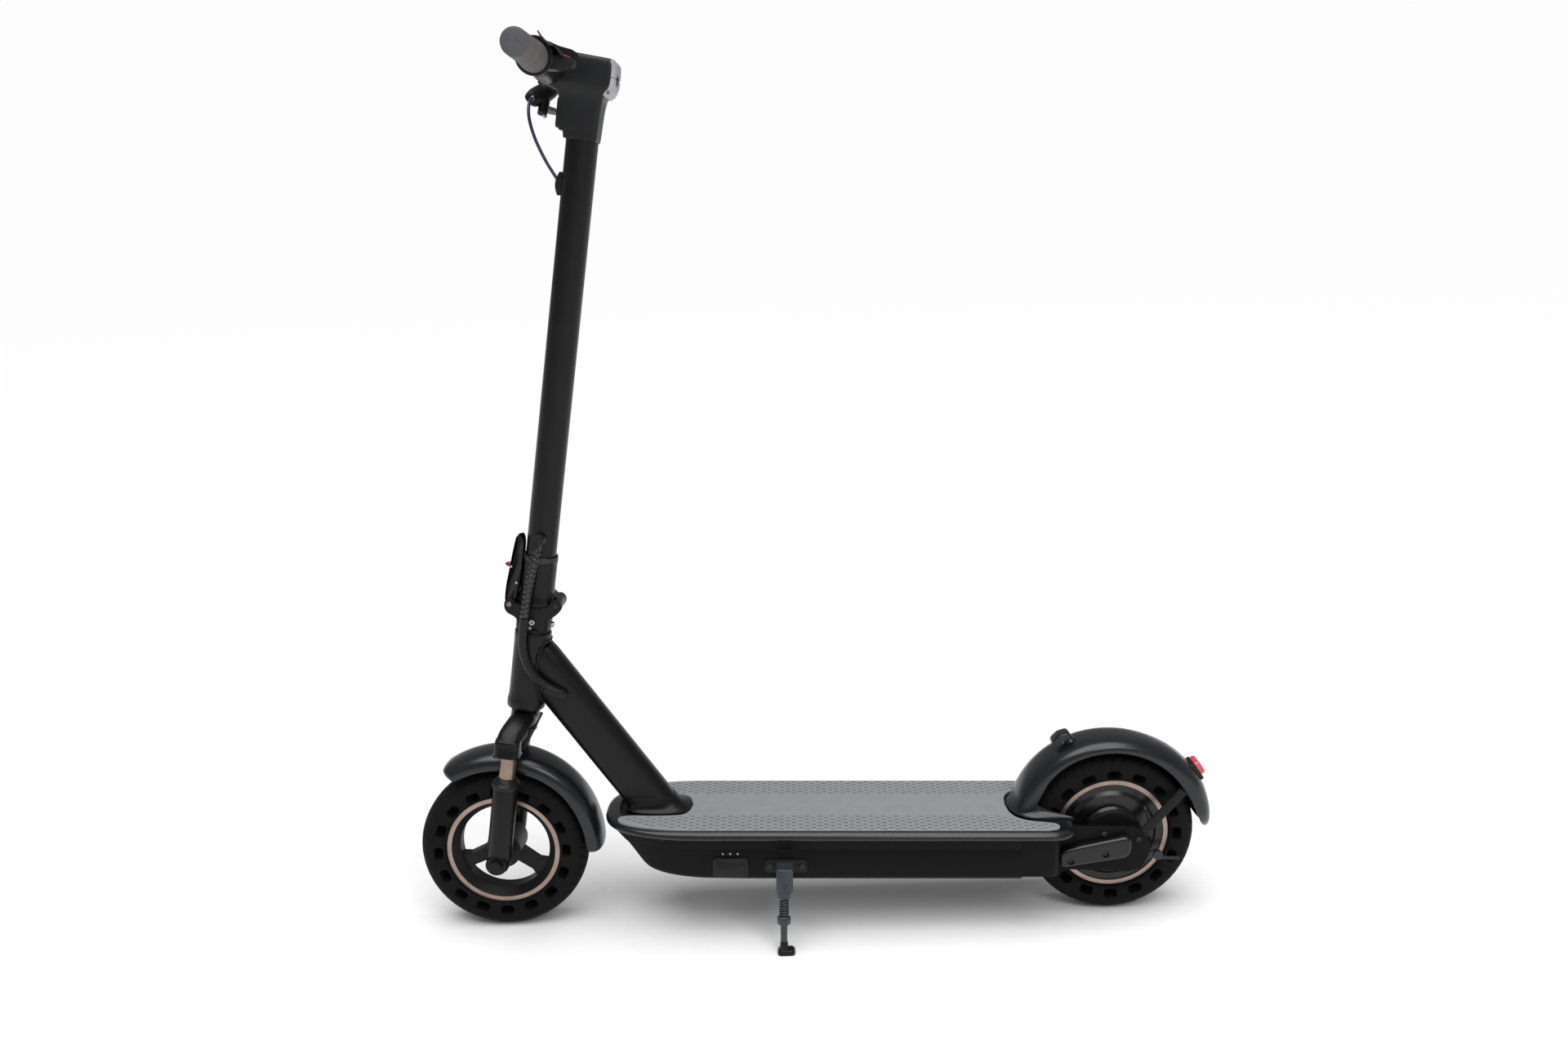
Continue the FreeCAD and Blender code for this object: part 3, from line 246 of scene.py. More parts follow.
def moved(part, matrix):
    return [tuple(matrix @ Vector(p)) for p in part[0]], part[1]


def mirrored(part):
    """The part with its twin on the other side."""
    points, faces = part
    return joined(part, ([(x, -y, z) for x, y, z in points], [tuple(reversed(face)) for face in faces]))


def skin(rings, closed=True, caps=True):
    """A surface over rings of points; each ring is closed unless told otherwise."""
    width = len(rings[0])
    points = [p for ring in rings for p in ring]
    faces = []
    for r in range(len(rings) - 1):
        for i in range(width if closed else width - 1):
            j = (i + 1) % width
            faces.append((r * width + i, r * width + j, (r + 1) * width + j, (r + 1) * width + i))
    if caps:
        faces.append(tuple(reversed(range(width))))
        faces.append(tuple(range((len(rings) - 1) * width, len(rings) * width)))
    return points, faces


def rectangle(x_low, x_high, z_low, z_high):
    """The four corners, as an outline."""
    return [(x_low, z_low), (x_high, z_low), (x_high, z_high), (x_low, z_high)]


def prism(outline, low, high):
    """An outline in X and Z, with thickness along Y."""
    return skin([[(x, y, z) for x, z in outline] for y in (low, high)])


def plan_prism(outline, low, high):
    """An outline in X and Y, with thickness along Z."""
    return skin([[(x, y, z) for x, y in outline] for z in (low, high)])


def lathe(profile, steps=48, closed=False):
    """(radius, y) pairs turned about the Y axis."""
    rings = []
    for i in range(steps):
        a = math.radians(360.0 * i / steps)
        rings.append([(r * math.cos(a), y, r * math.sin(a)) for r, y in profile])
    return skin(rings + rings[:1], closed=closed, caps=False)


def two_sided(rings):
    """A surface over rings that start at the middle, joined to their twins on the other side."""
    return skin([[(x, -y, z) for x, y, z in ring] for ring in reversed(rings[1:])] + rings)


def oval(turn, power, a, b):
    """A point of a squared oval, at a turn in radians; a power of 2 gives an ellipse."""
    c, s = math.cos(turn), math.sin(turn)
    return math.copysign(abs(c) ** (2 / power), c) * a, math.copysign(abs(s) ** (2 / power), s) * b


def square_to(ahead):
    """Two directions square to ahead and to each other."""
    side = ahead.orthogonal().normalized()
    return side, ahead.cross(side)


def circle(spot, side, rise, radius, count):
    """Points round a spot, in the plane of side and rise."""
    turns = [2 * math.pi * k / count for k in range(count)]
    return [tuple(spot + (side * math.cos(turn) + rise * math.sin(turn)) * radius) for turn in turns]


def swept(keys, per_span=6, around=20, power=2.3, up=(0, 1, 0), dome=0.0):
    """A rounded bar through (x, y, z, half width across, half width along up) keys."""
    row = smooth_row(keys, per_span)
    rings = []
    for i, (x, y, z, a, b) in enumerate(row):
        ahead = Vector(row[min(i + 1, len(row) - 1)][:3]) - Vector(row[max(i - 1, 0)][:3])
        ahead.normalize()
        side = Vector(up).cross(ahead).normalized()
        rise = ahead.cross(side).normalized()
        shifts = [(0, 1)]
        if dome and i in (0, len(row) - 1):
            sign = 1 if i else -1
            shifts = [(sign * dome * math.sin(math.radians(w)), math.cos(math.radians(w)))
                      for w in (0, 30, 55, 75, 86)]
            shifts = shifts if i else shifts[::-1]
        for push, size in shifts:
            ring = []
            for k in range(around):
                u, v = oval(2 * math.pi * k / around, power, a, b)
                ring.append(tuple(Vector((x, y, z)) + ahead * push + side * (u * size) + rise * (v * size)))
            rings.append(ring)
    return skin(rings)


def rod(start, end, radius, around=20, chamfer=0.0):
    """A round bar between two points, with chamfered ends if asked."""
    start, end = Vector(start), Vector(end)
    ahead = (end - start).normalized()
    stops = [(start, radius), (end, radius)]
    if chamfer:
        stops = [(start, radius - chamfer), (start + ahead * chamfer, radius),
                 (end - ahead * chamfer, radius), (end, radius - chamfer)]
    return skin([circle(spot, *square_to(ahead), size, around) for spot, size in stops])


def hex_bolt(spot, ahead, radius, height, socket=0.55):
    """A round screw head with a six-sided socket, standing on spot and facing ahead."""
    ahead = Vector(ahead).normalized()
    side, rise = square_to(ahead)
    rings = []
    stops = [(0, radius, 24), (height * 0.75, radius, 24), (height, radius * 0.85, 24),
             (height, radius * socket, 6), (height * 0.35, radius * socket, 6)]
    for up, size, sides in stops:
        ring = []
        for k in range(24):
            turn = 2 * math.pi * k / 24
            reach = size
            if sides == 6:
                reach = size * math.cos(math.pi / 6) / math.cos((turn % (math.pi / 3)) - math.pi / 6)
            ring.append(tuple(Vector(spot) + ahead * up
                              + (side * math.cos(turn) + rise * math.sin(turn)) * reach))
        rings.append(ring)
    return skin(rings)


def coil(start, end, radius, wire, turns, per_turn=20):
    """A coil spring about the line from start to end."""
    start, end = Vector(start), Vector(end)
    ahead = (end - start).normalized()
    side, rise = square_to(ahead)
    rings = []
    count = int(turns * per_turn)
    for i in range(count + 1):
        turn = 2 * math.pi * i / per_turn
        out = side * math.cos(turn) + rise * math.sin(turn)
        spot = start.lerp(end, i / count) + out * radius
        rings.append(circle(spot, out, ahead, wire, 8))
    return skin(rings)


# ---- pieces ----


def edited(mesh, edit):
    """The mesh, after an edit that takes it as a bmesh."""
    work = bmesh.new()
    work.from_mesh(mesh)
    edit(work)
    work.to_mesh(mesh)
    work.free()
    return mesh


def solid(name, part, place, edit):
    """A new object of a part's points and faces."""
    mesh = bpy.data.meshes.new(name)
    mesh.from_pydata([place @ Vector(p) for p in part[0]], [], part[1])
    obj = bpy.data.objects.new(name, edited(mesh, edit))
    scene.collection.objects.link(obj)
    return obj


def face_out(work):
    bmesh.ops.recalc_face_normals(work, faces=work.faces)


def cut_away(obj, knife):
    """Takes the knife's volume out of the object, and removes the knife."""
    modifier = obj.modifiers.new("cut", "BOOLEAN")
    modifier.operation, modifier.object, modifier.solver = "DIFFERENCE", knife, "EXACT"
    modifier.use_self = True
    bpy.context.view_layer.update()
    result = bpy.data.meshes.new_from_object(obj.evaluated_get(bpy.context.evaluated_depsgraph_get()))
    obj.modifiers.clear()
    obj.data = result
    bpy.data.objects.remove(knife)


def piece(name, part, place, look, body, stands_for=(), bevel=0.0, crease=40, cutter=None):
    """Makes the piece from its points and faces, and lets it ride on its body, if it has one."""
    def sharp(edge):
        return edge.is_manifold and edge.calc_face_angle(0) > math.radians(crease)

    def shade(work):
        for face in work.faces:
            face.smooth = True
        for edge in work.edges:
            edge.smooth = not sharp(edge)

    def clean(work):
        bmesh.ops.remove_doubles(work, verts=work.verts, dist=1e-6)
        face_out(work)
        if bevel:
            bmesh.ops.bevel(work, geom=[e for e in work.edges if sharp(e)], offset=bevel * MM, segments=3,
                            profile=0.5, affect="EDGES", clamp_overlap=True)
        shade(work)

    obj = solid(name, part, place, clean)
    obj.data.materials.append(MATERIALS[look])
    if cutter:
        cut_away(obj, solid(name + "_cutter", cutter, place, face_out))
        edited(obj.data, shade)
    if body:
        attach(obj, body)
    if stands_for:
        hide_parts(*stands_for)
    return obj


# ---- cords ----

LOOM_UPPER = [(0, 27.2, 489), (1, 34, 474), (3, 37.5, 452), (6, 38, 424), (8, 37, 396), (9, 35, 372)]
LOOM_LOWER = [(9, 35, 371.2), (10, 33.5, 346), (7, 33, 320), (-4, 32.5, 294), (-26, 31, 273), (-54, 28, 262)]
BRAKE_CABLE = [(78.5, -39.2, 1076.1), (79, -22, 1072), (76, -8, 1052), (65, -3, 1026), (47, -1, 998),
               (31, 0, 979), (23.4, 0, 970.4)]
LOOM_RADIUS, BRAKE_CABLE_RADIUS = 6, 2.2


def route(name, points):
    """A cord's line: a NURBS spline through its route's points."""
    data = bpy.data.curves.new(name, "CURVE")
    data.dimensions = "3D"
    spline = data.splines.new("NURBS")
    spline.points.add(len(points) - 1)
    for knot, spot in zip(spline.points, points):
        knot.co = (*(steer @ Vector(spot)), 1)
    spline.order_u = 3
    spline.use_endpoint_u = True
    spline.resolution_u = 24
    return data


def line_of(points):
    """Points read from the route's spline, in metres."""
    guide = bpy.data.objects.new("guide", route("guide", points))
    mesh = bpy.data.meshes.new_from_object(guide)
    line = [v.co.copy() for v in mesh.vertices]
    bpy.data.objects.remove(guide)
    return line


def even(line, gap):
    """The line's points, a small even gap apart."""
    made, left = [line[0]], 0.0
    for a, b in zip(line, line[1:]):
        run = (b - a).length
        while left + run >= gap and run > 0:
            t = (gap - left) / run
            a = a + (b - a) * t
            made.append(a)
            run, left = (b - a).length, 0.0
        left += run
    return made + [line[-1]]


def hose(line, radius_at, around=24):
    """A tube along a line in metres; radius_at takes mm along it and a turn from 0 to 1, and gives mm."""
    rings, run = [], 0.0
    out = None
    for i, spot in enumerate(line):
        ahead = (line[min(i + 1, len(line) - 1)] - line[max(i - 1, 0)]).normalized()
        out = (Vector((0, 1, 0)) if out is None else out)
        out = (out - ahead * out.dot(ahead)).normalized()
        rise = ahead.cross(out)
        if i:
            run += (spot - line[i - 1]).length / MM
        ring = []
        for k in range(around):
            turn = 2 * math.pi * k / around
            ring.append(tuple(spot + (out * math.cos(turn) + rise * math.sin(turn)) * radius_at(run,
                                                                                                k / around)
                              * MM))
        rings.append(ring)
    return skin(rings)


WRAP_PITCH = 7.5


def wrapped(run, turn):
    """The upper loom: its spiral wrap stands proud of the cables inside."""
    phase = (run / WRAP_PITCH - turn) % 1
    edge = min(phase, 0.78 - phase) / 0.05 if phase < 0.78 else 0
    return LOOM_RADIUS - 1.3 + 1.5 * max(0, min(1, edge)) if run > 18 else LOOM_RADIUS - 0.2


def plain(run, turn):
    return LOOM_RADIUS + 0.12 * math.sin(run * 0.9 + 6 * turn)


as_it_is = Matrix.Identity(4)
upper_line, lower_line = line_of(LOOM_UPPER), line_of(LOOM_LOWER)
upper_loom = piece("upper_loom", hose(even(upper_line, 0.0007), wrapped, 32), as_it_is, "wrap_black", None,
                   ("loom_upper",), crease=60)
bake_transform(upper_loom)
lower_loom = piece("lower_loom", hose(even(lower_line, 0.0012), plain, 32), as_it_is, "soft_black", None,
                   ("loom_lower",), crease=60)
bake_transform(lower_loom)

cable_data = route("cable_line", BRAKE_CABLE)
cable_data.bevel_depth = BRAKE_CABLE_RADIUS * MM
cable_data.bevel_resolution = 5
cable_data.materials.append(MATERIALS["cable_blue"])
brake_cord = bpy.data.objects.new("brake_line", cable_data)
scene.collection.objects.link(brake_cord)
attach(brake_cord, "stem")
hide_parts("brake_cable")
clip = swept([(-30, 30.5, 268.5, 7, 7.4), (-40, 29, 265.6, 7.4, 8), (-52, 27.4, 262, 7.4, 8),
              (-60, 25.5, 259, 6, 7)], per_span=5, around=24, power=2.8, dome=2)
piece("loom_clip", clip, steer, "soft_black", "frame", crease=50)


# ---- wheels ----

TYRE_HALF, SEAT_RADIUS, TYRE_STEPS = 30, 84.5, 576
HOLE_CIRCLE, HOLE_COUNT = 95.5, 16
NOTCH_COUNT, NOTCH_DEPTH, NOTCH_LOW, NOTCH_HIGH = 48, 1.5, 15, 28.8    # across the shoulders
ZIGZAG_COUNT, GROOVE_DEPTH = 24, 1.3


def tyre(name, place, body):
    """A solid tyre: a grooved tread, notched shoulders, and a ring of rounded holes from side to side."""
    profile = [(SEAT_RADIUS, 22), (86, 26.5), (89, 28.6), (93, 29.6), (99, 29.9), (105, 29.6), (110, 28.5),
               (114.5, 26.4), (118, 23.2), (120.8, 19.4), (122.8, 15.4), (124.2, 11.2), (124.9, 6), (125, 2)]
    half = smooth_row(profile, 2)
    ring = [(r, -y) for r, y in half] + [(r, y) for r, y in reversed(half)]
    rings = []
    for i in range(TYRE_STEPS):
        a = 2 * math.pi * i / TYRE_STEPS
        row = []
        for r, y in ring:
            far = abs(y)
            depth = 0.0
            if r > 100:
                lean = a * NOTCH_COUNT / (2 * math.pi) + (far - 18) * 0.045
                if NOTCH_LOW < far < NOTCH_HIGH and lean - math.floor(lean) < 0.16:
                    depth = NOTCH_DEPTH * min(1, (far - NOTCH_LOW) / 2, (NOTCH_HIGH - far) / 1.5)
                zigzag = 3.2 * (abs(((a * ZIGZAG_COUNT / math.pi) % 2) - 1) - 0.5)
                if abs(y - zigzag) < 1.3 or abs(abs(y - zigzag) - 8.5) < 1.1:
                    depth = GROOVE_DEPTH
            r -= depth
            row.append((r * math.cos(a), y, r * math.sin(a)))
        rings.append(row)
    hole = prism(rounded(rectangle(-6.8, 6.8, -10.2, 10.2), 5.5), -TYRE_HALF - 3, TYRE_HALF + 3)
    holes = [moved(hole, turned(-360 * k / HOLE_COUNT) @ shifted(HOLE_CIRCLE)) for k in range(HOLE_COUNT)]
    piece(name, skin(rings + rings[:1], caps=False), place, "tyre_rubber", body,
          (name.replace("_tread", "_tyre"),), crease=30, cutter=joined(*holes))


tyre("front_tread", front_wheel, "front_wheel")
tyre("rear_tread", rear_wheel, "rear_wheel")


# ---- fenders ----

FENDER_WALL = 2.4


def fender(name, place, keys, body, node_name):
    """A fender through (angle up from straight ahead, crown radius, edge radius, half width) keys."""
    rings = []
    for angle, crown, edge, half in smooth_row(keys, 8):
        a = math.radians(angle)
        outer, inner = [], []
        for k in range(-16, 17):
            turn = math.radians(90 * k / 16)
            s, c = abs(math.sin(turn)), math.cos(turn)
            y = math.copysign(half * s ** 0.82, turn)
            r = edge + (crown - edge) * c ** 0.72
            outer.append((y, r))
            y_in = math.copysign(max(0, half - FENDER_WALL) * s ** 0.82, turn)
            inner.append((y_in, edge + (crown - FENDER_WALL - edge) * c ** 0.72))
        rings.append([(r * math.cos(a), y, r * math.sin(a)) for y, r in outer + inner[::-1]])
    piece(name, skin(rings), place, "fender_plastic", body, (node_name,), bevel=0.8, crease=50)


FRONT_FENDER = [(57.4, 152, 149, 14), (58.8, 153.6, 143.5, 25), (60.8, 154.8, 137, 31.5),
                (63.4, 155.4, 132.4, 34), (76, 156.5, 132.5, 34.5), (90, 157.5, 133, 34.5),
                (105, 158, 133, 34.5), (120, 157, 133, 34.5), (135, 155.5, 132, 34.5),
                (150, 153.5, 129.5, 34.5), (162, 151.5, 128, 34.5), (172, 150.8, 127.5, 34.3),
                (177, 150.2, 128, 34), (180, 149.2, 129, 32.5), (181.6, 147, 131, 29.5), (182.4, 143, 134, 25)]
REAR_FENDER = [(12, 153, 128, 37), (22, 153.4, 127.5, 37.5), (32, 154, 129, 37.5), (42, 154, 133, 37),
               (56, 153.5, 135, 36.5), (70, 152.6, 135, 36.5), (84, 152, 134, 36.5), (98, 152, 132.5, 36.5),
               (112, 152.4, 130.5, 36.5), (126, 154.2, 128, 36.5), (140, 155, 126, 36.5), (150, 155, 126, 36.2),
               (158, 153.5, 126.5, 35), (164, 152.5, 127.8, 33), (168, 151.8, 129.8, 30), (172, 151, 132.8, 25),
               (175.5, 149.8, 138, 17), (177.5, 148.5, 143, 10)]
fender("front_mudguard", front_wheel, FRONT_FENDER, "fork", "front_fender")


def fender_foot():
    """The flared foot that carries the rear fender on the deck, all round the front of the wheel."""
    top = [(-349, 0, 30), (-350.5, 12, 29), (-355, 23, 26), (-362, 31, 21.5), (-372, 35.5, 16.5),
           (-386, 38, 11), (-404, 41, 6), (-424, 44, 1.5)]
    foot = [(-334, 0, 0.4), (-336, 16, 0.4), (-342, 30, 0.4), (-352, 40, 0.4), (-366, 46.5, 0.4),
            (-384, 49.5, 0.4), (-404, 50, 0.2), (-426, 49, -0.6)]
    top, foot = smooth_row(top, 5), smooth_row(foot, 5)
    rings = []
    for upper, lower in zip(top, foot):
        a, d = Vector(upper), Vector(lower)
        fall = a.z - d.z
        b = a + (d - a) * 0.12 + Vector((0, 0, -0.52 * fall))
        c = d + (a - d) * 0.32 - Vector((0, 0, 0.32 * fall)) + Vector((0, 0, 0.6))
        out = [a * (1 - t) ** 3 + b * 3 * t * (1 - t) ** 2 + c * 3 * t * t * (1 - t) + d * t ** 3
               for t in (k / 8 for k in range(9))]
        out.append(d + Vector((0, 0, -1.2)))
        rings.append([tuple(p) for p in out] + [(a.x - 4, a.y * 0.93, d.z - 1.2),
                                                (a.x - 3, a.y * 0.95, a.z - 1)])
    return two_sided(rings)


axle_in_deck = deck @ shifted(*REAR_AXLE_IN_DECK)
fender("rear_mudguard", axle_in_deck, REAR_FENDER, "frame", "rear_fender")
piece("mudguard_foot", fender_foot(), deck, "fender_plastic", "frame", crease=55)


# ---- deck ----

RIM_PLAN = [(266, 0), (265, 18), (260, 37), (247, 56), (226, 71), (196, 82.5), (160, 89.5), (120, 92), (90, 92),
            (60, 92), (20, 92)]
RIM_TAIL = [(-372, 92), (-390, 91.4), (-402, 89), (-411, 84.6), (-418, 78.6), (-422.6, 71.6), (-424.6, 65.6),
            (-425.2, 62), (-425.4, 60)]


def deck_rim():
    """The thick rounded rim round the deck, widest at the nose, with rounded ends at the back."""
    half = smooth_row(RIM_PLAN, 5) + RIM_TAIL
    rings = []
    for i, (x, y) in enumerate(half):
        ahead = Vector(half[min(i + 1, len(half) - 1)]) - Vector(half[max(i - 1, 0)])
        out = Vector((-ahead.y, ahead.x)).normalized() * -1
        out = Vector((abs(out.x) if x > 0 else out.x, abs(out.y)))
        nose = max(0.0, min(1.0, (x - 150) / 100))
        wide = 10.5 + 10 * nose
        tail = max(0.0, (68 - y) / 8.05) if x < -400 else 0
        shrink = math.sqrt(max(0.0, 1 - tail * tail)) if tail else 1.0
        section = [(-wide, -0.6), (-wide * 0.85, -0.9), (-wide * 0.6, -2), (-wide * 0.3, -3.6), (-2.2, -5),
                   (-0.6, -7), (0, -9.4), (-0.6, -11.6), (-2.6, -13.6), (-6, -14.4), (-wide, -14.4)]
        mid_off, mid_z = -wide / 2, -7
        ring = []
        for off, z in section:
            off, z = mid_off + (off - mid_off) * (0.3 + 0.7 * shrink), mid_z + (z - mid_z) * (0.25 + 0.75
                                                                                              * shrink)
            ring.append((x + out.x * off, y + out.y * off, z))
        rings.append(ring)
    return two_sided(rings)


rim_shelf = mirrored(plan_prism(rounded([(-345, 48), (-345, 84), (-392, 84), (-410, 78), (-419, 66),
                                         (-420, 48)], 4), -3.9, -1.2))
piece("deck_edge", joined(deck_rim(), rim_shelf), deck, "fender_plastic", "frame", ("deck_trim",), crease=60)

MAT_HALF = [(136, 0), (140, 20), (152, 33), (190, 36.5), (222, 35.5), (238, 38), (243.5, 45), (240, 54),
            (226, 63.5), (202, 72.5), (170, 79.5), (136, 82.2), (80, 82.5), (-340, 82.5), (-378, 82),
            (-394, 78.5), (-399.5, 70), (-396, 61), (-380, 56), (-366, 53.5), (-352, 48), (-340, 38),
            (-333.5, 22), (-331.5, 0)]


def in_outline(x, y, outline):
    inside = False
    for (x0, y0), (x1, y1) in zip(outline, outline[1:] + outline[:1]):
        if (y0 > y) != (y1 > y) and x < (x1 - x0) * (y - y0) / (y1 - y0) + x0:
            inside = not inside
    return inside


def deck_mat():
    """The grip mat: smooth down the middle, with nine staggered rows of short slots along each edge."""
    half = MAT_HALF[:1] + smooth_row(MAT_HALF[1:-1], 4) + MAT_HALF[-1:]
    whole = half + [(x, -y) for x, y in reversed(half[1:-1])]
    plate = plan_prism(whole, -3.6, 0)
    slots = []
    for row in range(9):
        y = 38 + 5 * row
        for k in range(-24, 20):
            x = 18.7 * k + (9.35 if row % 2 else 0) - 52.4
            if all(in_outline(x + dx, y + dy, half + [(0, -1)]) for dx in (-6, 6) for dy in (-3.4, 3.4)):
                for mid in (y, -y):
                    slots.append(plan_prism(rectangle(x - 3.6, x + 3.6, mid - 1.1, mid + 1.1), -4.5, 1))
    return plate, joined(*slots)


plate, slots = deck_mat()
piece("grip_mat", plate, deck, "mat_grey", "frame", ("deck_mat",), bevel=0.6, crease=60, cutter=slots)


def deck_body():
    """The deck's tray: sides with a step under the rim, a rounded bottom, a nose cut back below."""
    plan = smooth_row([(262, 0), (258, 24), (244, 46), (222, 60), (192, 73), (160, 80.5), (124, 83.8), (92, 84),
                       (60, 84)], 5)
    plan.append((-345, 84))
    keel = smooth_row([(262, -13), (250, -20), (238, -28), (228, -37), (218, -47.5), (209, -57.5), (200, -66),
                       (190, -70.5), (174, -74), (156, -76), (126, -77.8), (92, -78.4), (60, -78.5)], 8)
    keel.append((-345, -78.5))

    def bottom_at(x):
        for (x1, z1), (x0, z0) in zip(keel, keel[1:]):
            if x0 <= x <= x1:
                return z0 + (z1 - z0) * (x - x0) / max(1e-6, x1 - x0)
        return keel[-1][1]

    rings = []
    for x, y in plan[1:]:
        low = bottom_at(x)
        deep = max(0.0, min(1.0, (-low - 16) / 20))
        lean = 4.0 * max(0.0, min(1.0, (x - 60) / 160))
        y = max(y, 3)
        section = [(y, -4), (y, -13.5), (y - 0.3, -14 - 13 * deep), (y - 0.9 * deep, -14 - 14.5 * deep),
                   (y - 1.0 * deep, -14 - 16 * deep), (y - 0.2 - lean * 0.3, -14 - 17.5 * deep),
                   (y - 0.1 - lean, low + 9 * deep), (y - 1.2 - lean, low + 4 * deep),
                   (y - 4 - lean, low + 1.2 * deep), (y - 8 - lean, low)]
        section = [(max(0.5, across), min(-4, up)) for across, up in section]
        rings.append([(x, -across, up) for across, up in section]
                     + [(x, across, up) for across, up in section[::-1]])
    return skin(rings)


port = rod((77, 60, -57), (77, 95, -57), 11, around=32)
piece("deck_tray", deck_body(), deck, "deck_black", "frame", ("deck_chassis", "deck_bottom_cover"), crease=50,
      cutter=port)
arms = [plan_prism(rounded(rectangle(-341, -402, 44 * hand, 84 * hand),
                           [0, 6, 24, 0], 8), -74, -4) for hand in (1, -1)]
piece("deck_arms", joined(*arms), deck, "deck_black", "frame", bevel=3, crease=38)


# ---- head tube and down tube ----

stand_up = turned(90, "X")
HEAD_RADIUS = 26


def head_tube():
    profile = [(17, 226.5), (26.4, 226.5), (27.4, 227.6), (27.6, 236), (27, 240), (26.4, 244),
               (HEAD_RADIUS, 256), (HEAD_RADIUS, 328), (26.2, 332), (26.4, 335), (26.4, 342), (25.6, 343.6),
               (17, 343.6)]
    return moved(lathe(profile, 64, closed=True), stand_up)


TUBE_TOP, TUBE_RUN = Vector((-0.2, 0, 311.5)), Vector((-229.4, 0, -237.8))
TUBE_DEPTH, TUBE_WIDTH, TUBE_POWER = 33.2, 22, 2.7


def tube_section(offset=0.0, around=48):
    """The down tube's section: (across, along Y) pairs."""
    return [oval(2 * math.pi * k / around, TUBE_POWER, TUBE_DEPTH + offset, TUBE_WIDTH + offset)
            for k in range(around)]


TUBE_AHEAD = TUBE_RUN.normalized()
TUBE_SIDE = Vector((0, 1, 0)).cross(TUBE_AHEAD)


def down_tube():
    rings = []
    for t in (0.02, 0.06, 0.12, 0.3, 0.5, 0.7, 0.9, 1.0, 1.07):
        spot = TUBE_TOP + TUBE_RUN * t
        rings.append([tuple(spot + TUBE_SIDE * a + Vector((0, b, 0)))
                      for a, b in tube_section(-1.0 if t < 0.04 else 0)])
    return skin(rings)


def weld_bead():
    """The ragged bead of weld where the down tube meets the head tube."""
    line = []
    for a, b in tube_section(0.3, around=72):
        spot = TUBE_TOP + TUBE_SIDE * a + Vector((0, b, 0))
        reach = -math.sqrt(max(0, HEAD_RADIUS ** 2 - spot.y ** 2))
        line.append(spot + TUBE_AHEAD * ((reach - spot.x) / TUBE_AHEAD.x))
    draw = random.Random(4)
    rings = []
    count = len(line)
    for i, spot in enumerate(line):
        run = (line[(i + 1) % count] - line[i - 1]).normalized()
        size = 2.3 + 0.7 * math.sin(i * 2.1) + 0.6 * draw.random()
        rings.append(circle(spot, *square_to(run), size, 8))
    return skin(rings + rings[:1], caps=False)


def tube_foot():
    """The flare where the down tube lands on the deck."""
    rings = []
    for z, grow in ((20, 0.0), (13, 0.7), (8, 1.8), (4.5, 3.6), (2.2, 6), (0.9, 8.4), (0.2, 10), (-2, 10)):
        ring = []
        for k in range(56):
            turn = 2 * math.pi * k / 56
            x, y = oval(turn, TUBE_POWER, 40.6 + grow * (1.2 if math.cos(turn) < 0 else 0.7),
                        TUBE_WIDTH + 0.4 + grow * 0.85)
            ring.append((189.5 + 0.711 * z + x, y, z))
        rings.append(ring)
    return skin(rings)


piece("steering_head", head_tube(), steer, "black_paint", "frame", ("head_tube",), crease=50)
piece("main_tube", down_tube(), steer, "black_paint", "frame", ("down_tube",), crease=50)
piece("weld", weld_bead(), steer, "black_paint", "frame", crease=60)
piece("tube_flare", tube_foot(), deck, "black_paint", "frame", ("tube_cowl",), crease=50)


# ---- fork ----

LEG_SPACING, STANCHION_RADIUS = 53, 11.5


def fork_crown():
    """The crown: a hub on the steerer, two arms that sweep forward, and a block on each stanchion."""
    hub = moved(lathe([(15, 190), (18, 190), (19.4, 192), (19.8, 204), (20.4, 217), (20.4, 221.5), (15, 222)],
                      closed=True), stand_up)
    arms = []
    for hand in (1, -1):
        arms.append(swept([(-1, 4 * hand, 206, 18.6, 15), (0, 18 * hand, 206.5, 18.6, 15),
                           (4, 34 * hand, 202, 18.2, 14.6), (9, 46 * hand, 193.5, 17.8, 15),
                           (11.5, 54 * hand, 184, 17.2, 15.4)], per_span=7, around=36, power=2.9,
                          up=(0, 0.25 * hand, 1), dome=5))
        block = rounded(rectangle(-7, 29, -16.5, 16.5), 9)
        parts = [(169, -1.5), (170.6, 0), (190, 0), (193, 0.6), (195, 3)]
        rings = [[(x + (-grow if x > 11 else grow), y + LEG_SPACING * hand + (-grow if y > 0 else grow), z)
                  for x, y in block] for z, grow in parts]
        arms.append(skin(rings))
        arms.append(hex_bolt((-3, LEG_SPACING * hand + 16.2 * hand, 177), (0, hand, 0), 3, 2.4))
    return joined(hub, *arms)


def lower_legs():
    """The sliding legs, each with an axle lug at the foot."""
    parts = []
    for hand in (1, -1):
        leg = [(0.1, -17.5), (9, -17), (14.5, -13), (17, -6), (18.2, 4), (18, 60), (18.2, 118), (17.4, 120.5),
               (12, 120.5)]
        parts.append(moved(lathe(leg), shifted(FORK_OFFSET, LEG_SPACING * hand) @ stand_up))
        lug = moved(lathe([(6.05, 34.5), (13, 34.5), (15.5, 36), (15.8, 44), (15.8, 69), (14.6, 71.2),
                           (6.05, 71.2)], 40, closed=True),
                    shifted(FORK_OFFSET) @ (Matrix.Identity(4) if hand > 0 else Matrix.Scale(-1, 4, (0, 1, 0))))
        parts.append(lug)
    return joined(*parts)


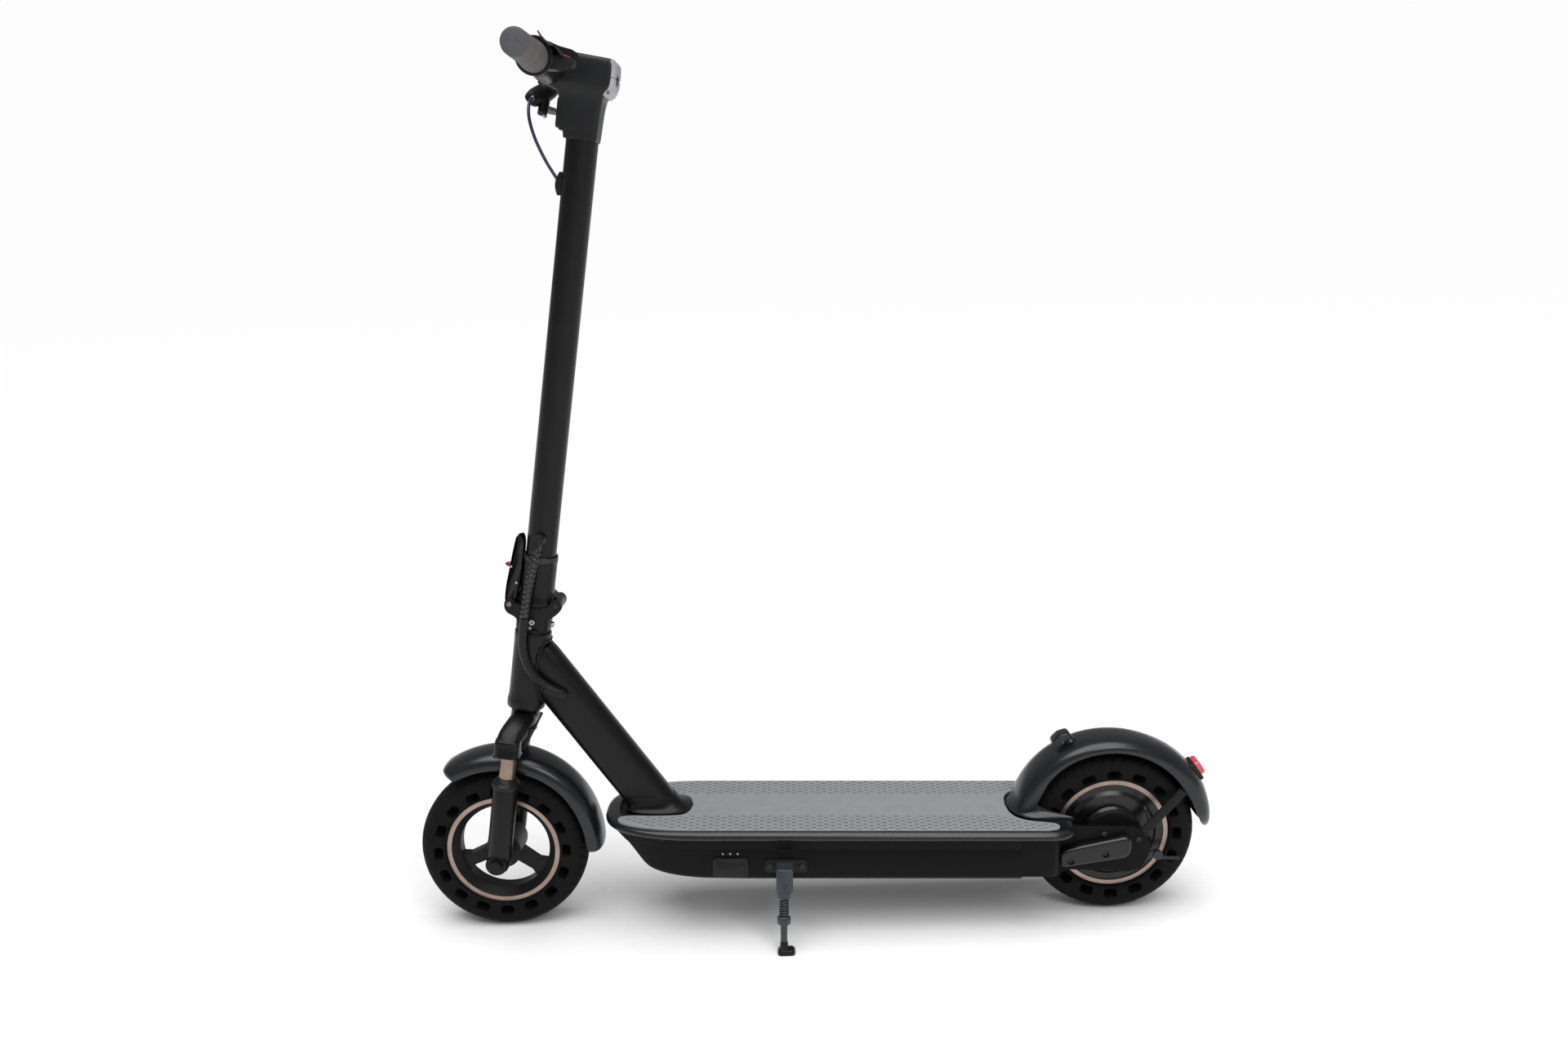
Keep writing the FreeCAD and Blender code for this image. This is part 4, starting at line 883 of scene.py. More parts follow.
def dust_collars():
    collar = [(STANCHION_RADIUS + 0.1, 119), (18.8, 119), (20.2, 120.2), (20.6, 122.6), (20.2, 125),
              (18.4, 126.4), (16.8, 128.4), (15.4, 131.4), (13, 133.6), (STANCHION_RADIUS + 0.1, 134)]
    return joined(*(moved(lathe(collar, closed=True), shifted(FORK_OFFSET, LEG_SPACING * hand) @ stand_up)
                    for hand in (1, -1)))


piece("crown", fork_crown(), steer, "black_paint", "fork", ("fork_crown",), crease=45)
piece("sliding_legs", lower_legs(), steer, "black_paint", "fork_lowers", ("lower_legs",), crease=45)
piece("dust_collars", dust_collars(), steer, "soft_black", "fork_lowers")
bridge = [[(x, y, z) for x, y in rounded(rectangle(back, -3, -34, 34), 3)]
          for z, back in ((170, -10), (204, -22))]
piece("crown_bridge", skin(bridge), steer, "black_plastic", "fork", bevel=2, crease=50)


# ---- fold joint ----

HINGE, LATCH = (-31, 390), (35, 384)


def fold_collar():
    """The upper half: a collar on the stem that flares over the joint, with the hinge's knuckle."""
    profile = [(21.6, 457.5), (24.2, 457.5), (24.2, 408), (24.7, 402), (26, 396), (27.6, 391.5), (28, 388.5),
               (27.4, 386.7), (21.6, 386.7)]
    shell = moved(lathe(profile, 72, closed=True), stand_up)
    x, z = HINGE
    knuckle = prism(rounded([(-18, 387), (x + 3, z - 9.3), (x - 6, z - 7), (x - 9.3, z), (x - 6.5, z + 6.5),
                             (x + 4, z + 12), (-20, 409), (-18, 409)], 3, 5), -11.8, 11.8)
    return joined(shell, knuckle)


def clamp_band():
    """The slightly uneven band round the collar's top, in a metal lighter than the paint; the band is real, but
    its lighter colour and ragged lower edge are a painted highlight.
    """
    draw = random.Random(11)
    # the ragged lower edge follows the shape of a highlight: painted highlight
    low = [449.5 + draw.uniform(-2, 2) for _ in range(24)]
    rings = []
    for k in range(97):
        turn = 2 * math.pi * k / 96
        a, t = int(k / 4) % 24, (k % 4) / 4
        z = low[a] * (1 - t) + low[(a + 1) % 24] * t
        swell = 0.3 * math.sin(turn * 7) + 0.25 * math.sin(turn * 13) + 0.2 * draw.random()
        c, s = math.cos(turn), math.sin(turn)
        row = [(23.8, z), (24.4 + swell, z + 0.3), (24.8 + swell, z + 1.6), (24.7 + swell, 455.6),
               (24.4, 457.8), (23.8, 458.3)]
        rings.append([(r * c, r * s, up) for r, up in row])
    return skin(rings, caps=False)


def lower_fold():
    """The lower half: a block on the steerer, with ears for the hinge behind and for the latch in front."""
    block = []
    for z, grow in ((349, -1), (350.5, 0), (366, 0), (371, 1.2), (377, 2.4), (383, 2.6), (385, 1.8),
                    (385.6, 0.6)):
        block.append([(x * (1 + grow / 24), y * (1 + grow / 30), z)
                      for x, y in rounded(rectangle(-24.5, 24.5, -21.5, 21.5), 15, 7)])
    foot = moved(lathe([(16, 347), (24.6, 347), (24.6, 349.6), (16, 349.6)], closed=True), stand_up)
    x, z = HINGE
    rear = [(-17, 360), (-24, 368), (x - 4.5, z - 11), (x - 9.2, z - 3), (x - 8.6, z + 3.5), (x - 3, z + 9.2),
            (x + 4, z + 8.6), (x + 9, z + 1), (-18, 385.4)]
    front = [(18, 356), (24, 366), (37, 371), (41.5, 378), (42, 386), (39, 392), (32, 393), (28.7, 390),
             (28.5, 385.5), (18, 385.4)]
    parts = [skin(block), foot]
    for hand in (1, -1):
        for outline in (rear, front):
            parts.append(prism(rounded(outline, 4, 5), 12.4 * hand, 21 * hand))
    return joined(*parts)


slot = joined(prism(rectangle(26.4, 60, 350, 400), -12.4, 12.4),
              rod((HINGE[0], -12.2, HINGE[1]), (HINGE[0], 12.2, HINGE[1]), 10.8, around=40))
clearance = joined(*(rod((HINGE[0], hand * 12, HINGE[1]), (HINGE[0], hand * 40, HINGE[1]), 10.6, around=40)
                     for hand in (1, -1)))
piece("fold_collar", fold_collar(), steer, "black_paint", "stem", ("fold_sleeve",), crease=45, cutter=clearance)
# the band's dark steel, lighter than the black paint round it, is a painted highlight on a real clamp band
piece("clamp_band", clamp_band(), steer, "dark_steel", "stem", crease=60)
piece("fold_block", lower_fold(), steer, "black_cast", "fork", ("fold_base",), crease=45, cutter=slot)


def latch():
    """The lever: a curved channel with a skin outside and two walls towards the stem."""
    x, z = LATCH
    outer = smooth_row([(x - 1, z - 7), (x + 4.6, z - 5.6), (x + 8, z + 3), (x + 8.2, z + 24),
                        (x + 5.8, z + 50), (x + 3.4, z + 76), (x + 0.6, z + 97)], 5)
    inner = smooth_row([(x - 5.5, z + 99.5), (x - 9, z + 93), (x - 10.4, z + 80), (x - 10.6, z + 55),
                        (x - 9.8, z + 30), (x - 7.4, z + 10), (x - 5, z - 4)], 5)
    walls = [prism(outer + inner, 8.8 * hand, 11.6 * hand) for hand in (1, -1)]
    slim = [(px - 2.6, pz) for px, pz in outer]
    walls.append(prism(outer + slim[::-1], -11.6, 11.6))
    walls.append(prism(rectangle(x - 3, x + 5, z + 3, z + 14), -8.9, 8.9))
    return joined(*walls)


piece("lever", latch(), steer, "black_cast", "latch_lever", ("latch_lever",), bevel=0.9, crease=30,
      cutter=rod((LATCH[0] + 2, 0, LATCH[1] + 53), (LATCH[0] + 20, 0, LATCH[1] + 53), 4.4, around=28))
x_face, z_button = LATCH[0] - 2.5, LATCH[1] + 53
button = moved(lathe([(0.05, 4.6), (3.9, 4.6), (3.9, 10.5), (3.3, 13.2), (1.9, 16), (0.9, 17), (0.05, 17.2)],
                     32), shifted(x_face, 0, z_button) @ turned(-90, "Z"))
piece("push_button", button, steer, "red_plastic", "latch_button", ("latch_button",))
side_pins = joined(rod((x_face + 6, -12.6, z_button), (x_face + 6, 12.6, z_button), 1.7, chamfer=0.4),
                   hex_bolt((x_face - 3.5, 11.6, z_button - 23), (0, 1, 0), 1.9, 1.2))
piece("lever_pin", side_pins, steer, "steel", "latch_lever")
for name, (x, z), radius in (("hinge_pin", HINGE, 3.4), ("latch_pin", LATCH, 3.6)):
    pin = joined(rod((x, -21, z), (x, 21, z), radius), hex_bolt((x, 21, z), (0, 1, 0), radius, 1.6, 0.5),
                 hex_bolt((x, -21, z), (0, -1, 0), radius, 1.6, 0.5))
    piece(name, pin, steer, "bronze" if name == "latch_pin" else "dark_steel", "fork",
          ("fold_pins",) if name == "latch_pin" else ())
block_bolts = joined(hex_bolt((0.5, 21.2, 363), (-0.25, 1, -0.1), 4.3, 5.5),
                     hex_bolt((2, 21.2, 352.5), (0, 1, 0), 2.4, 1.6),
                     hex_bolt((-24, 2, 356), (-1, 0, 0), 4.2, 5), hex_bolt((-24, 2, 367), (-1, 0, 0), 2.6, 2))
piece("block_bolts", block_bolts, steer, "steel", "fork")
piece("bolt_mark", rod((-0.8, 26.4, 362.5), (-1.0, 27.2, 362.4), 1.9, chamfer=0.3), steer, "red_plastic",
      "fork")


# ---- head ----

# height, front, back, half width, radius of the rear corners
HEAD_SLICES = [(1029, 22, -20.6, 21.4, 6), (1030, 23, -21.4, 22.4, 7), (1037.8, 24, -21.8, 22.8, 7),
               (1038, 29, -21.8, 22.8, 7), (1042, 31.4, -22, 23, 7), (1050, 31.7, -22.3, 23.3, 7.5),
               (1060, 31.8, -22.7, 23.7, 7.5), (1070, 32.1, -23.2, 24.2, 7.5), (1078, 32.7, -24, 24.8, 7),
               (1084, 34.5, -25, 25.6, 6.5), (1087, 37.5, -27, 26.4, 6), (1089.5, 44, -28.8, 27.4, 6),
               (1092, 55, -30.6, 28.6, 6), (1095, 61.5, -32.2, 29.4, 6), (1099, 66, -33.4, 29.9, 6),
               (1105, 70, -34.2, 30, 6), (1111, 71, -34.4, 30, 6), (1118, 70.4, -34.4, 30, 6),
               (1124, 68.4, -34.4, 29.8, 6), (1128, 65.6, -34.4, 29.4, 6), (1131, 62, -34, 28.8, 6),
               (1133, 58, -33.2, 27.8, 6), (1134.4, 53, -32, 26.2, 6), (1135, 47, -30, 23.5, 6)]


def head_shell():
    """The T-shaped head: level slices from a neck that tapers to the stem up to the bridge."""
    layers = []
    for z, front, back, wide, corner in HEAD_SLICES:
        corners = [(front, -wide), (front, wide), (back, wide), (back, -wide)]
        ring = rounded(corners, [6, 6, corner, corner], 6)
        lean = 0.03 * max(0, min(1, (z - 1118) / 14))
        layers.append([(x, y, z + lean * x) for x, y in ring])
    return skin(layers)


def bar_shroud():
    """The sleeve that carries the head's shape out along the bar on each side."""
    profile = [(16, 84), (19.4, 84), (20.4, 83), (20.8, 70), (21.6, 50), (22.8, 34), (23, 28), (16, 28)]
    return mirrored(lathe(profile, 56, closed=True))


bore = rod((BAR_X, -70, BAR_Z), (BAR_X, 70, BAR_Z), 16, around=48)
piece("head_shell", head_shell(), steer, "black_plastic", "stem", ("head_housing",), crease=32, cutter=bore)
piece("bar_shroud", bar_shroud(), bar, "black_plastic", "stem")


def cover_half(outline):
    return prism(rounded(outline, 2.2, 4), -28.6, 28.6)


cover = joined(cover_half([(-30, 1133), (-34.8, 1133.2), (-37.2, 1128.6), (-38, 1111.9), (-30, 1109.3)]),
               cover_half([(-30, 1108.7), (-38, 1111.3), (-37.4, 1102), (-34.8, 1093.4), (-28.4, 1086),
                           (-24.6, 1087.4), (-28.6, 1096), (-30, 1100)]))
knob_place = shifted(0, 0, BAR_Z - 4) @ turned(-90, "Z")
button_hole = moved(rod((0, -50, 0), (0, -31, 0), 7.4, around=40), knob_place)
piece("cover", cover, steer, "cover_grey", "stem", ("display_cover",), bevel=1.6, crease=30, cutter=button_hole)
oblong_outline = rounded(rectangle(-17, 17, -4, 4), 2.5)
panel = skin([[(-37.2 + 0.09 * z * k, y * k, 1122 + z * k) for y, z in oblong_outline] for k in (1.0, 0.97)])
piece("display_panel", panel, steer, "black_plastic", "stem", crease=50)
knob = moved(lathe([(0.05, -39.2), (3.5, -39.1), (5.4, -38.7), (5.9, -38), (6.9, -38.2), (7, -37.3), (7, -32),
                    (0.05, -32)], 40), knob_place)
piece("power_knob", knob, steer, "black_plastic", "power_button", ("power_button",))
cover_screws = joined(*(hex_bolt((-31.4, 28.2 * hand, 1092), (0, hand, 0), 2, 0.8) for hand in (1, -1)))
piece("cover_screws", cover_screws, steer, "dark_steel", "stem")


LAMP_X, LAMP_Z = 32.2, 1060


def lamp_plate(wide, tall, radius, layers):
    """A rounded plate on the head's front, through (forward, scale) layers."""
    outline = rounded(rectangle(-wide, wide, -tall, tall), radius)
    return skin([[(x + LAMP_X, y * k, LAMP_Z + z * k) for y, z in outline] for x, k in layers])


bezel = lamp_plate(13.5, 19, 4, ((-1, 1), (2.4, 1), (3.2, 0.94), (3.2, 0.8), (2.2, 0.78)))
piece("lamp_bezel", bezel, steer, "black_plastic", "stem")
lens = lamp_plate(10.6, 15, 3, ((1, 1), (2.6, 1), (3.4, 0.85), (3.6, 0.5)))
piece("lamp_lens", lens, steer, "lamp_white", "stem", ("headlight",), crease=50)
stem_screws = joined(*(hex_bolt((x, 20.7, z), (0, 1, 0), 3.4, 1.6) for x, z in ((0.5, 1018), (0, 998))))
piece("stem_screws", stem_screws, steer, "black_cast", "stem")


# ---- handlebar controls ----

def throttle_collar():
    """The fixed collar inside the grip, with a flange against it and the switch box behind."""
    ring = lathe([(16, 98.2), (20.6, 98.2), (21.2, 99), (21.2, 114.5), (23.4, 115.6), (23.8, 118.6),
                  (23, 119.6), (16, 119.6)], 56, closed=True)
    box = prism(rounded([(-15, 3), (-15, -13.4), (-29.5, -12.4), (-47.5, -7.2), (-49, -4), (-48.6, 1.4),
                         (-45, 3.8), (-33.8, 5), (-24, 4)], 2, 4), 98.4, 117.6)
    return joined(ring, box)


well = prism(rectangle(-43, -25, -4, 12), 102.8, 112.8)
piece("throttle_collar", throttle_collar(), bar, "black_plastic", "stem", ("throttle_ring",), bevel=0.8,
      crease=36, cutter=well)
key_top = []
for x in (-42.7, -41, -38, -34, -30, -27, -25.3):
    rise = 5.6 + 1.5 * (1 - ((x + 34) / 8.7) ** 2)
    key_top.append([(x, 103, -1), (x, 112.5, -1), (x, 112.5, rise - 0.6), (x, 111.8, rise), (x, 103.7, rise),
                    (x, 103, rise - 0.6)])
piece("switch_key", skin(key_top), bar, "red_plastic", "switch_button", ("switch_button",))


def thumb_paddle():
    """A ring that turns on the bar, a hump behind it, and a thin curved blade over the grip."""
    ring = lathe([(16.1, 84.2), (19, 84.2), (20, 85.2), (20, 96.4), (19.2, 97.5), (16.1, 97.5)], 56,
                 closed=True)
    hump = prism(rounded([(2, 19.6), (-10, 6), (-30, 5), (-46, 7.2), (-49.6, 10.4), (-48, 12.8), (-42, 15.8),
                          (-25, 17.8), (-12, 21.6), (-4, 21)], 3, 4), 84.3, 97.4)
    blade = swept([(-33, 106, 6, 1.5, 20), (-26, 108, 12, 1.4, 21), (-19, 110, 15.6, 1.3, 21),
                   (-12.5, 114, 18.6, 1.2, 18.5), (-8, 119, 22, 1.1, 13.5), (-5.4, 123, 24.8, 0.8, 8.5)],
                  per_span=7, around=36, power=4, dome=0.6)
    return joined(ring, hump, blade)


piece("thumb_paddle", thumb_paddle(), bar, "black_plastic", "throttle_paddle", ("throttle_paddle",), crease=38)


def grip():
    """A palm grip that swells inwards, with rows of small dimples."""
    keys = smooth_row([(16.4, 229), (16.7, 222), (16.9, 205), (17.1, 190), (17.6, 170), (18.4, 152),
                       (19.4, 136), (20.2, 126), (20.2, 121.5), (19.4, 120)], 12)
    rings, steps, columns, row_gap = [], 168, 30, 4.6
    for i in range(steps):
        turn = 2 * math.pi * i / steps
        rings.append([])
        for r, y in keys:
            dimple = 0.0
            if 124 < y < 221:
                row = (y - 124) / row_gap
                shift = 0.5 * (int(row) % 2)
                u = (i / steps * columns + shift) % 1 - 0.5
                v = row % 1 - 0.5
                reach = math.hypot(u * 2 * math.pi * 18 / columns, v * row_gap)
                dimple = 1.1 * max(0.0, 1 - reach / 1.4) ** 0.5 if reach < 1.4 else 0.0
            r = 16.6 + (r - 16.6) * (0.35 + 0.65 * max(0.0, -math.sin(turn))) - dimple
            rings[-1].append((r * math.cos(turn), y, r * math.sin(turn)))
        rings[-1] += [(16 * math.cos(turn), y, 16 * math.sin(turn)) for y in (120, 229)]
    return mirrored(skin(rings + rings[:1], caps=False))


piece("palm_grips", grip(), bar, "grip_grey", "stem", ("grips",), crease=50)
caps = mirrored(lathe([(0.05, 231.9), (13.4, 231.7), (15.4, 230.8), (16.3, 229.4), (16.3, 228.6),
                       (0.05, 228.6)], 64))
piece("grip_caps", caps, bar, "cap_grey", "stem")


def brake_perch():
    """The brake lever's bracket: a clamp on the bar, a thick body, and the barrel that takes the cable."""
    clamp = lathe([(16, -101), (19.6, -101), (20.6, -100), (20.6, -87), (19.6, -86), (16, -86)], closed=True)
    body = swept([(17, -93.5, 2, 8.5, 11), (27, -95.5, 3.5, 9, 12.5), (36, -90, 4.5, 9, 13),
                  (44, -76, 5, 8.6, 12.5), (49.5, -62, 4, 8, 11), (49.5, -52, 2, 7.2, 8)], per_span=6,
                 around=28, power=3, up=(0, 0, 1), dome=2)
    lug = prism(rounded([(14, 12), (30, 10), (32, 20), (22, 24), (14, 20)], 3), -99, -88)
    horn = swept([(40, -80, -2, 7, 7), (46, -74, -10, 7, 7), (55, -68, -17, 6.5, 6.5)], per_span=5, around=24,
                 power=3.4, up=(0, 0, 1), dome=1.5)
    barrel = joined(rod((48, -52, 0), (48, -44, 0), 5, chamfer=0.8),
                    rod((48, -44.5, 0), (48, -40, 0), 3.6, chamfer=0.6))
    return joined(clamp, body, lug, horn, barrel)


lever_slot = prism(rectangle(34, 62, -3.7, 3.7), -112, -82)
piece("brake_perch", brake_perch(), brake_plane, "black_cast", "stem", ("brake_bracket",), cutter=lever_slot)
perch_bolts = joined(hex_bolt((22, -93.5, 24), (0, 0, 1), 3.4, 2.4),
                     hex_bolt((41, -90, 12.5), (0, 0, 1), 3.6, 1.8),
                     rod((41, -90, -10.5), (41, -90, 12.5), 2.9),
                     rod((48, -40.5, 0), (48, -38, 0), 2.9, chamfer=0.5),
                     rod((54, -68, -19), (55.5, -68, -24), 3, chamfer=0.6))
piece("perch_bolts", perch_bolts, brake_plane, "steel", "stem")


# The brake lever: a curved blade with a ball end.
blade = swept([(41, -92, 0, 2.9, 5.5), (45.5, -104, 0, 2.9, 5), (50.5, -118, 0, 4.6, 4.6),
               (52, -140, 0, 5.6, 5), (51.8, -170, 0, 5.6, 4.9), (50.4, -198, 0, 5.4, 4.4),
               (49.8, -208, 0, 5.2, 4.6)], per_span=7, around=28, power=2.8, up=(1, 0, 0), dome=3)
eye = rod((41, -90, -3.1), (41, -90, 3.1), 5.9, around=32, chamfer=0.5)
piece("brake_blade", joined(blade, eye), brake_plane, "black_cast", "brake_lever", ("brake_lever",), crease=45,
      cutter=rod((41, -90, -5), (41, -90, 5), 3.05, around=32))

tube_plug = swept([(21, 0, 984, 5.5, 3), (24, 0, 975, 6, 3.6), (24.2, 0, 966, 6, 3.4), (22, 0, 957, 5, 2.4)],
                  per_span=5, around=24, power=2.4, dome=1.5)
piece("cable_plug", tube_plug, steer, "soft_black", "stem", crease=50)
upper_plug = moved(lathe([(0.05, 35), (6.4, 34.6), (8.2, 32), (8.8, 28), (9.4, 22), (9, 17), (0.05, 17)], 32),
                   shifted(0, 0, 486))
piece("loom_plug", upper_plug, steer, "soft_black", "stem")


# ---- deck side and kickstand ----

def inset(outline, amount):
    """The outline moved inwards by an amount."""
    made = []
    turn = sum(a[0] * b[1] - b[0] * a[1] for a, b in zip(outline, outline[1:] + outline[:1]))
    for i, spot in enumerate(outline):
        ahead = Vector(outline[(i + 1) % len(outline)]) - Vector(outline[i - 1])
        out = Vector((ahead.y, -ahead.x)).normalized() * (1 if turn > 0 else -1)
        made.append(tuple(Vector(spot) - out * amount))
    return made


def stack(outline, layers, axis="Y"):
    """The outline as a pad along an axis, through (level, inset) layers."""
    rings = []
    for level, amount in layers:
        ring = inset(outline, amount) if amount else outline
        rings.append([{"X": (level, u, v), "Y": (u, level, v), "Z": (u, v, level)}[axis] for u, v in ring])
    return skin(rings)


def oblong(x_low, x_high, z_low, z_high, radius):
    return rounded(rectangle(x_low, x_high, z_low, z_high), radius, 5)


DOTS = [(66.9, -36.2), (77.6, -36.2), (88.4, -36.2)]
SIDE_DOTS = [(175, -12.6), (54, -10)]
port = stack(oblong(51, 103, -72, -42, 6), [(84.2, 0), (86.2, 0), (87, 0.9)])
strap = joined(stack(oblong(66, 88, -48, -42.2, 2.5), [(84.2, 0), (87.6, 0), (88.2, 0.7)]),
               stack(oblong(58, 96, -46, -42.5, 1.5), [(86.5, 0), (87.9, 0), (88.3, 0.5)]),
               stack(oblong(57, 97, -68, -51, 4), [(86.5, 0), (87.4, 0), (87.8, 0.6)]))
piece("port_flap", joined(port, strap), deck, "soft_black", "charge_flap", ("charge_flap",), crease=50)
dots = joined(*(rod((x, 83.4, z), (x, 84.7, z), 1.5, chamfer=0.3) for x, z in DOTS))
piece("port_dots", dots, deck, "cover_grey", "frame")
side_screws = joined(*(hex_bolt((x, 83.9, z), (0, 1, 0), 2.6, 0.9) for x, z in SIDE_DOTS),
                     *(hex_bolt((x, 88, -54), (0, 1, 0), 3.8, 1.8) for x in (-26, 20)))
piece("side_screws", side_screws, deck, "dark_steel", "frame", ("frame_screws",))

STAND_X, STAND_Z = -1, -74    # the stand's pivot
base = stack(oblong(-34, 28, -64, -44, 6), [(83.9, 0), (87.2, 0), (88, 0.9)])
piece("stand_base", base, deck, "black_cast", "frame", crease=45)
cheeks = joined(stack(oblong(-13, 11, -81.8, -47, 2.5), [(109.4, 0), (111.4, 0), (112.2, 0.8)]),
                stack(oblong(-13, 11, -81.8, -47, 2.5), [(86, 0), (96.8, 0), (97, 0.2)]),
                stack(oblong(-13, 11, -52, -47, 1.5), [(96, 0), (110, 0)]))
piece("stand_bracket", cheeks, deck, "stand_grey", "frame", ("kickstand_bracket",), crease=45)
stand_bolt = joined(rod((STAND_X, 90, STAND_Z), (STAND_X, 110, STAND_Z), 4),
                    hex_bolt((STAND_X, 112, STAND_Z), (0, 1, 0), 4.2, 1.8))
piece("stand_bolt", stand_bolt, deck, "stand_grey", "frame")
eye = moved(lathe([(4.5, 97.5), (10, 97.5), (11, 98.5), (11, 108), (10, 109), (4.5, 109)], 40, closed=True),
            shifted(0, 0, STAND_Z))
leg = swept([(0, 103.2, -76, 7.2, 5), (0, 103.6, -86, 7.5, 5), (0, 104.6, -92, 6.4, 4.8),
             (0, 105.9, -97, 3.8, 3.6), (0, 108.4, -115, 3.8, 3.6), (0, 111.4, -134, 4.8, 4.6),
             (0, 116.4, -166, 4.8, 4.6)], per_span=6, around=28, dome=1)
nut = stack([(9.6 * math.cos(k * math.pi / 3), 9.6 * math.sin(k * math.pi / 3)) for k in range(6)],
            [(0, 1.4), (1.4, 0), (11.6, 0), (13, 1.4)], "Z")
nut = moved(nut, shifted(0, 111, -133) @ turned(8.6, "X"))
collar = swept([(0, 103.6, -83, 9.4, 4.7), (0, 103.8, -88, 9.6, 4.7), (0, 104, -94, 9.2, 4.7)], per_span=3,
               around=32, power=2.6, dome=0.6)
spring = coil((0, 105.8, -97), (0, 109, -119), 6, 1.35, 6)
piece("stand_leg", joined(eye, leg, nut, collar), deck, "stand_grey", "kickstand", ("kickstand_leg",),
      crease=42)
piece("stand_spring", spring, deck, "stand_grey", "kickstand", crease=60)
low, high = (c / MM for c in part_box("kickstand_foot"))
middle = (low + high) / 2
sole = stack(oblong(low.x, high.x, low.y, high.y, 6), [(0, 1.2), (1.2, 0), (5, 0), (7.5, 2.5)], "Z")
ankle = swept([(middle.x + 3, middle.y, 5, 7, 7), (middle.x + 3, middle.y, 12, 6, 6),
               (middle.x + 3, middle.y - 1, 17, 5.6, 5.6)], per_span=4, around=24, dome=1)
piece("stand_foot", joined(sole, ankle), to_metres, "soft_black", "kickstand", ("kickstand_foot",), crease=45)
piece("under_bump", stack(oblong(-346, -318, -20, 20, 6), [(-78, 0), (-82, 0), (-84.5, 2.5)], "Z"), deck,
      "soft_black", "frame", crease=45)


# ---- rear end ----

guard_edge = rounded([(-401, -65.6), (-401, -36.7), (-505, -12.5), (-505, -47.5)], [13, 13, 15, 15], 8)
guard = mirrored(stack(guard_edge, [(62.9, 0), (70, 0), (72.5, 0.6), (74.3, 1.8), (75.2, 3.4), (75.5, 5)]))
RECESSES = [(-417.2, -53.5), (-467, -42)]
wells = mirrored(joined(*(rod((x, 71.5, z), (x, 80, z), 4.9, around=32) for x, z in RECESSES)))
piece("axle_guards", guard, deck, "hub_black", "frame", ("axle_covers",), cutter=wells)
guard_screws = mirrored(joined(*(hex_bolt((x, 71.4, z), (0, 1, 0), 3.9, 2) for x, z in RECESSES)))
piece("guard_screws", guard_screws, deck, "dark_steel", "frame")
plate_bolts = mirrored(joined(*(hex_bolt((x, 62.9, z), (0, 1, 0), 4, 2.8)
                                for x, z in ((-466, -15), (-516.5, -24)))))
piece("plate_bolts", plate_bolts, deck, "dark_steel", "frame")
rear_side = mirrored(stack(rounded([(-402.2, -4), (-512, -5), (-524, -13), (-533, -28), (-534, -48),
                                    (-525, -69), (-508, -76), (-402.2, -72)], 5),
                           [(56, 0), (62.4, 0), (63, 0.6)]))
piece("rear_plates", rear_side, deck, "deck_black", "frame", ("side_plates",),
      cutter=rod((-488, -70, -35), (-488, 70, -35), 6.2, around=40))
stays = mirrored(swept([(-518, 55.4, -26, 6, 1.5), (-522, 54.4, -22, 7, 1.5), (-552, 46.2, 7, 7, 1.5),
                        (-582, 37.8, 36, 7, 1.5), (-585, 37, 39, 5.5, 1.5)], per_span=4, around=28, power=5))
piece("stays", stays, deck, "black_paint", "frame", ("fender_stays",))

HOOK_ANGLE, LAMP_ANGLE = 66.5, 146.3    # round the rear wheel from straight ahead, in degrees
mudguard_frame = rear_wheel @ shifted(5, 0, 3)
hook_frame = mudguard_frame @ turned(-HOOK_ANGLE)
hook = joined(moved(lathe([(0.05, 0), (10, 0), (8, 2.5), (6.6, 6), (6.4, 8), (0.05, 8)], 40),
                    shifted(149, 0, 3) @ turned(-90, "Z")),
              stack(rounded([(157.2, -22.5), (161.5, -20), (167, -7), (165.2, 6), (160.5, 9.5), (155, 7),
                             (154, -4), (154.6, -13)], 4, 6),
                    [(-11, 1.6), (-9, 0.4), (-7, 0), (7, 0), (9, 0.4), (11, 1.6)]))
piece("stem_hook", hook, hook_frame, "fender_plastic", "frame", ("fold_hook",), crease=45)
lamp_frame = mudguard_frame @ turned(-LAMP_ANGLE)
lamp_base = stack(oblong(-15, 15, -14, 16, 5), [(149, -1), (154, -0.6), (158.5, 0), (160.5, 0), (161.5, 1)],
                  "X")
piece("tail_base", lamp_base, lamp_frame, "black_plastic", "frame")
lamp_lens = stack(oblong(-13.5, 13.5, -12.5, 9, 4.5), [(160, 0), (166.2, 0), (168.2, 1.2), (168.9, 3)], "X")
piece("tail_lens", lamp_lens, lamp_frame, "lamp_red", "frame", ("tail_lamp",), crease=45)

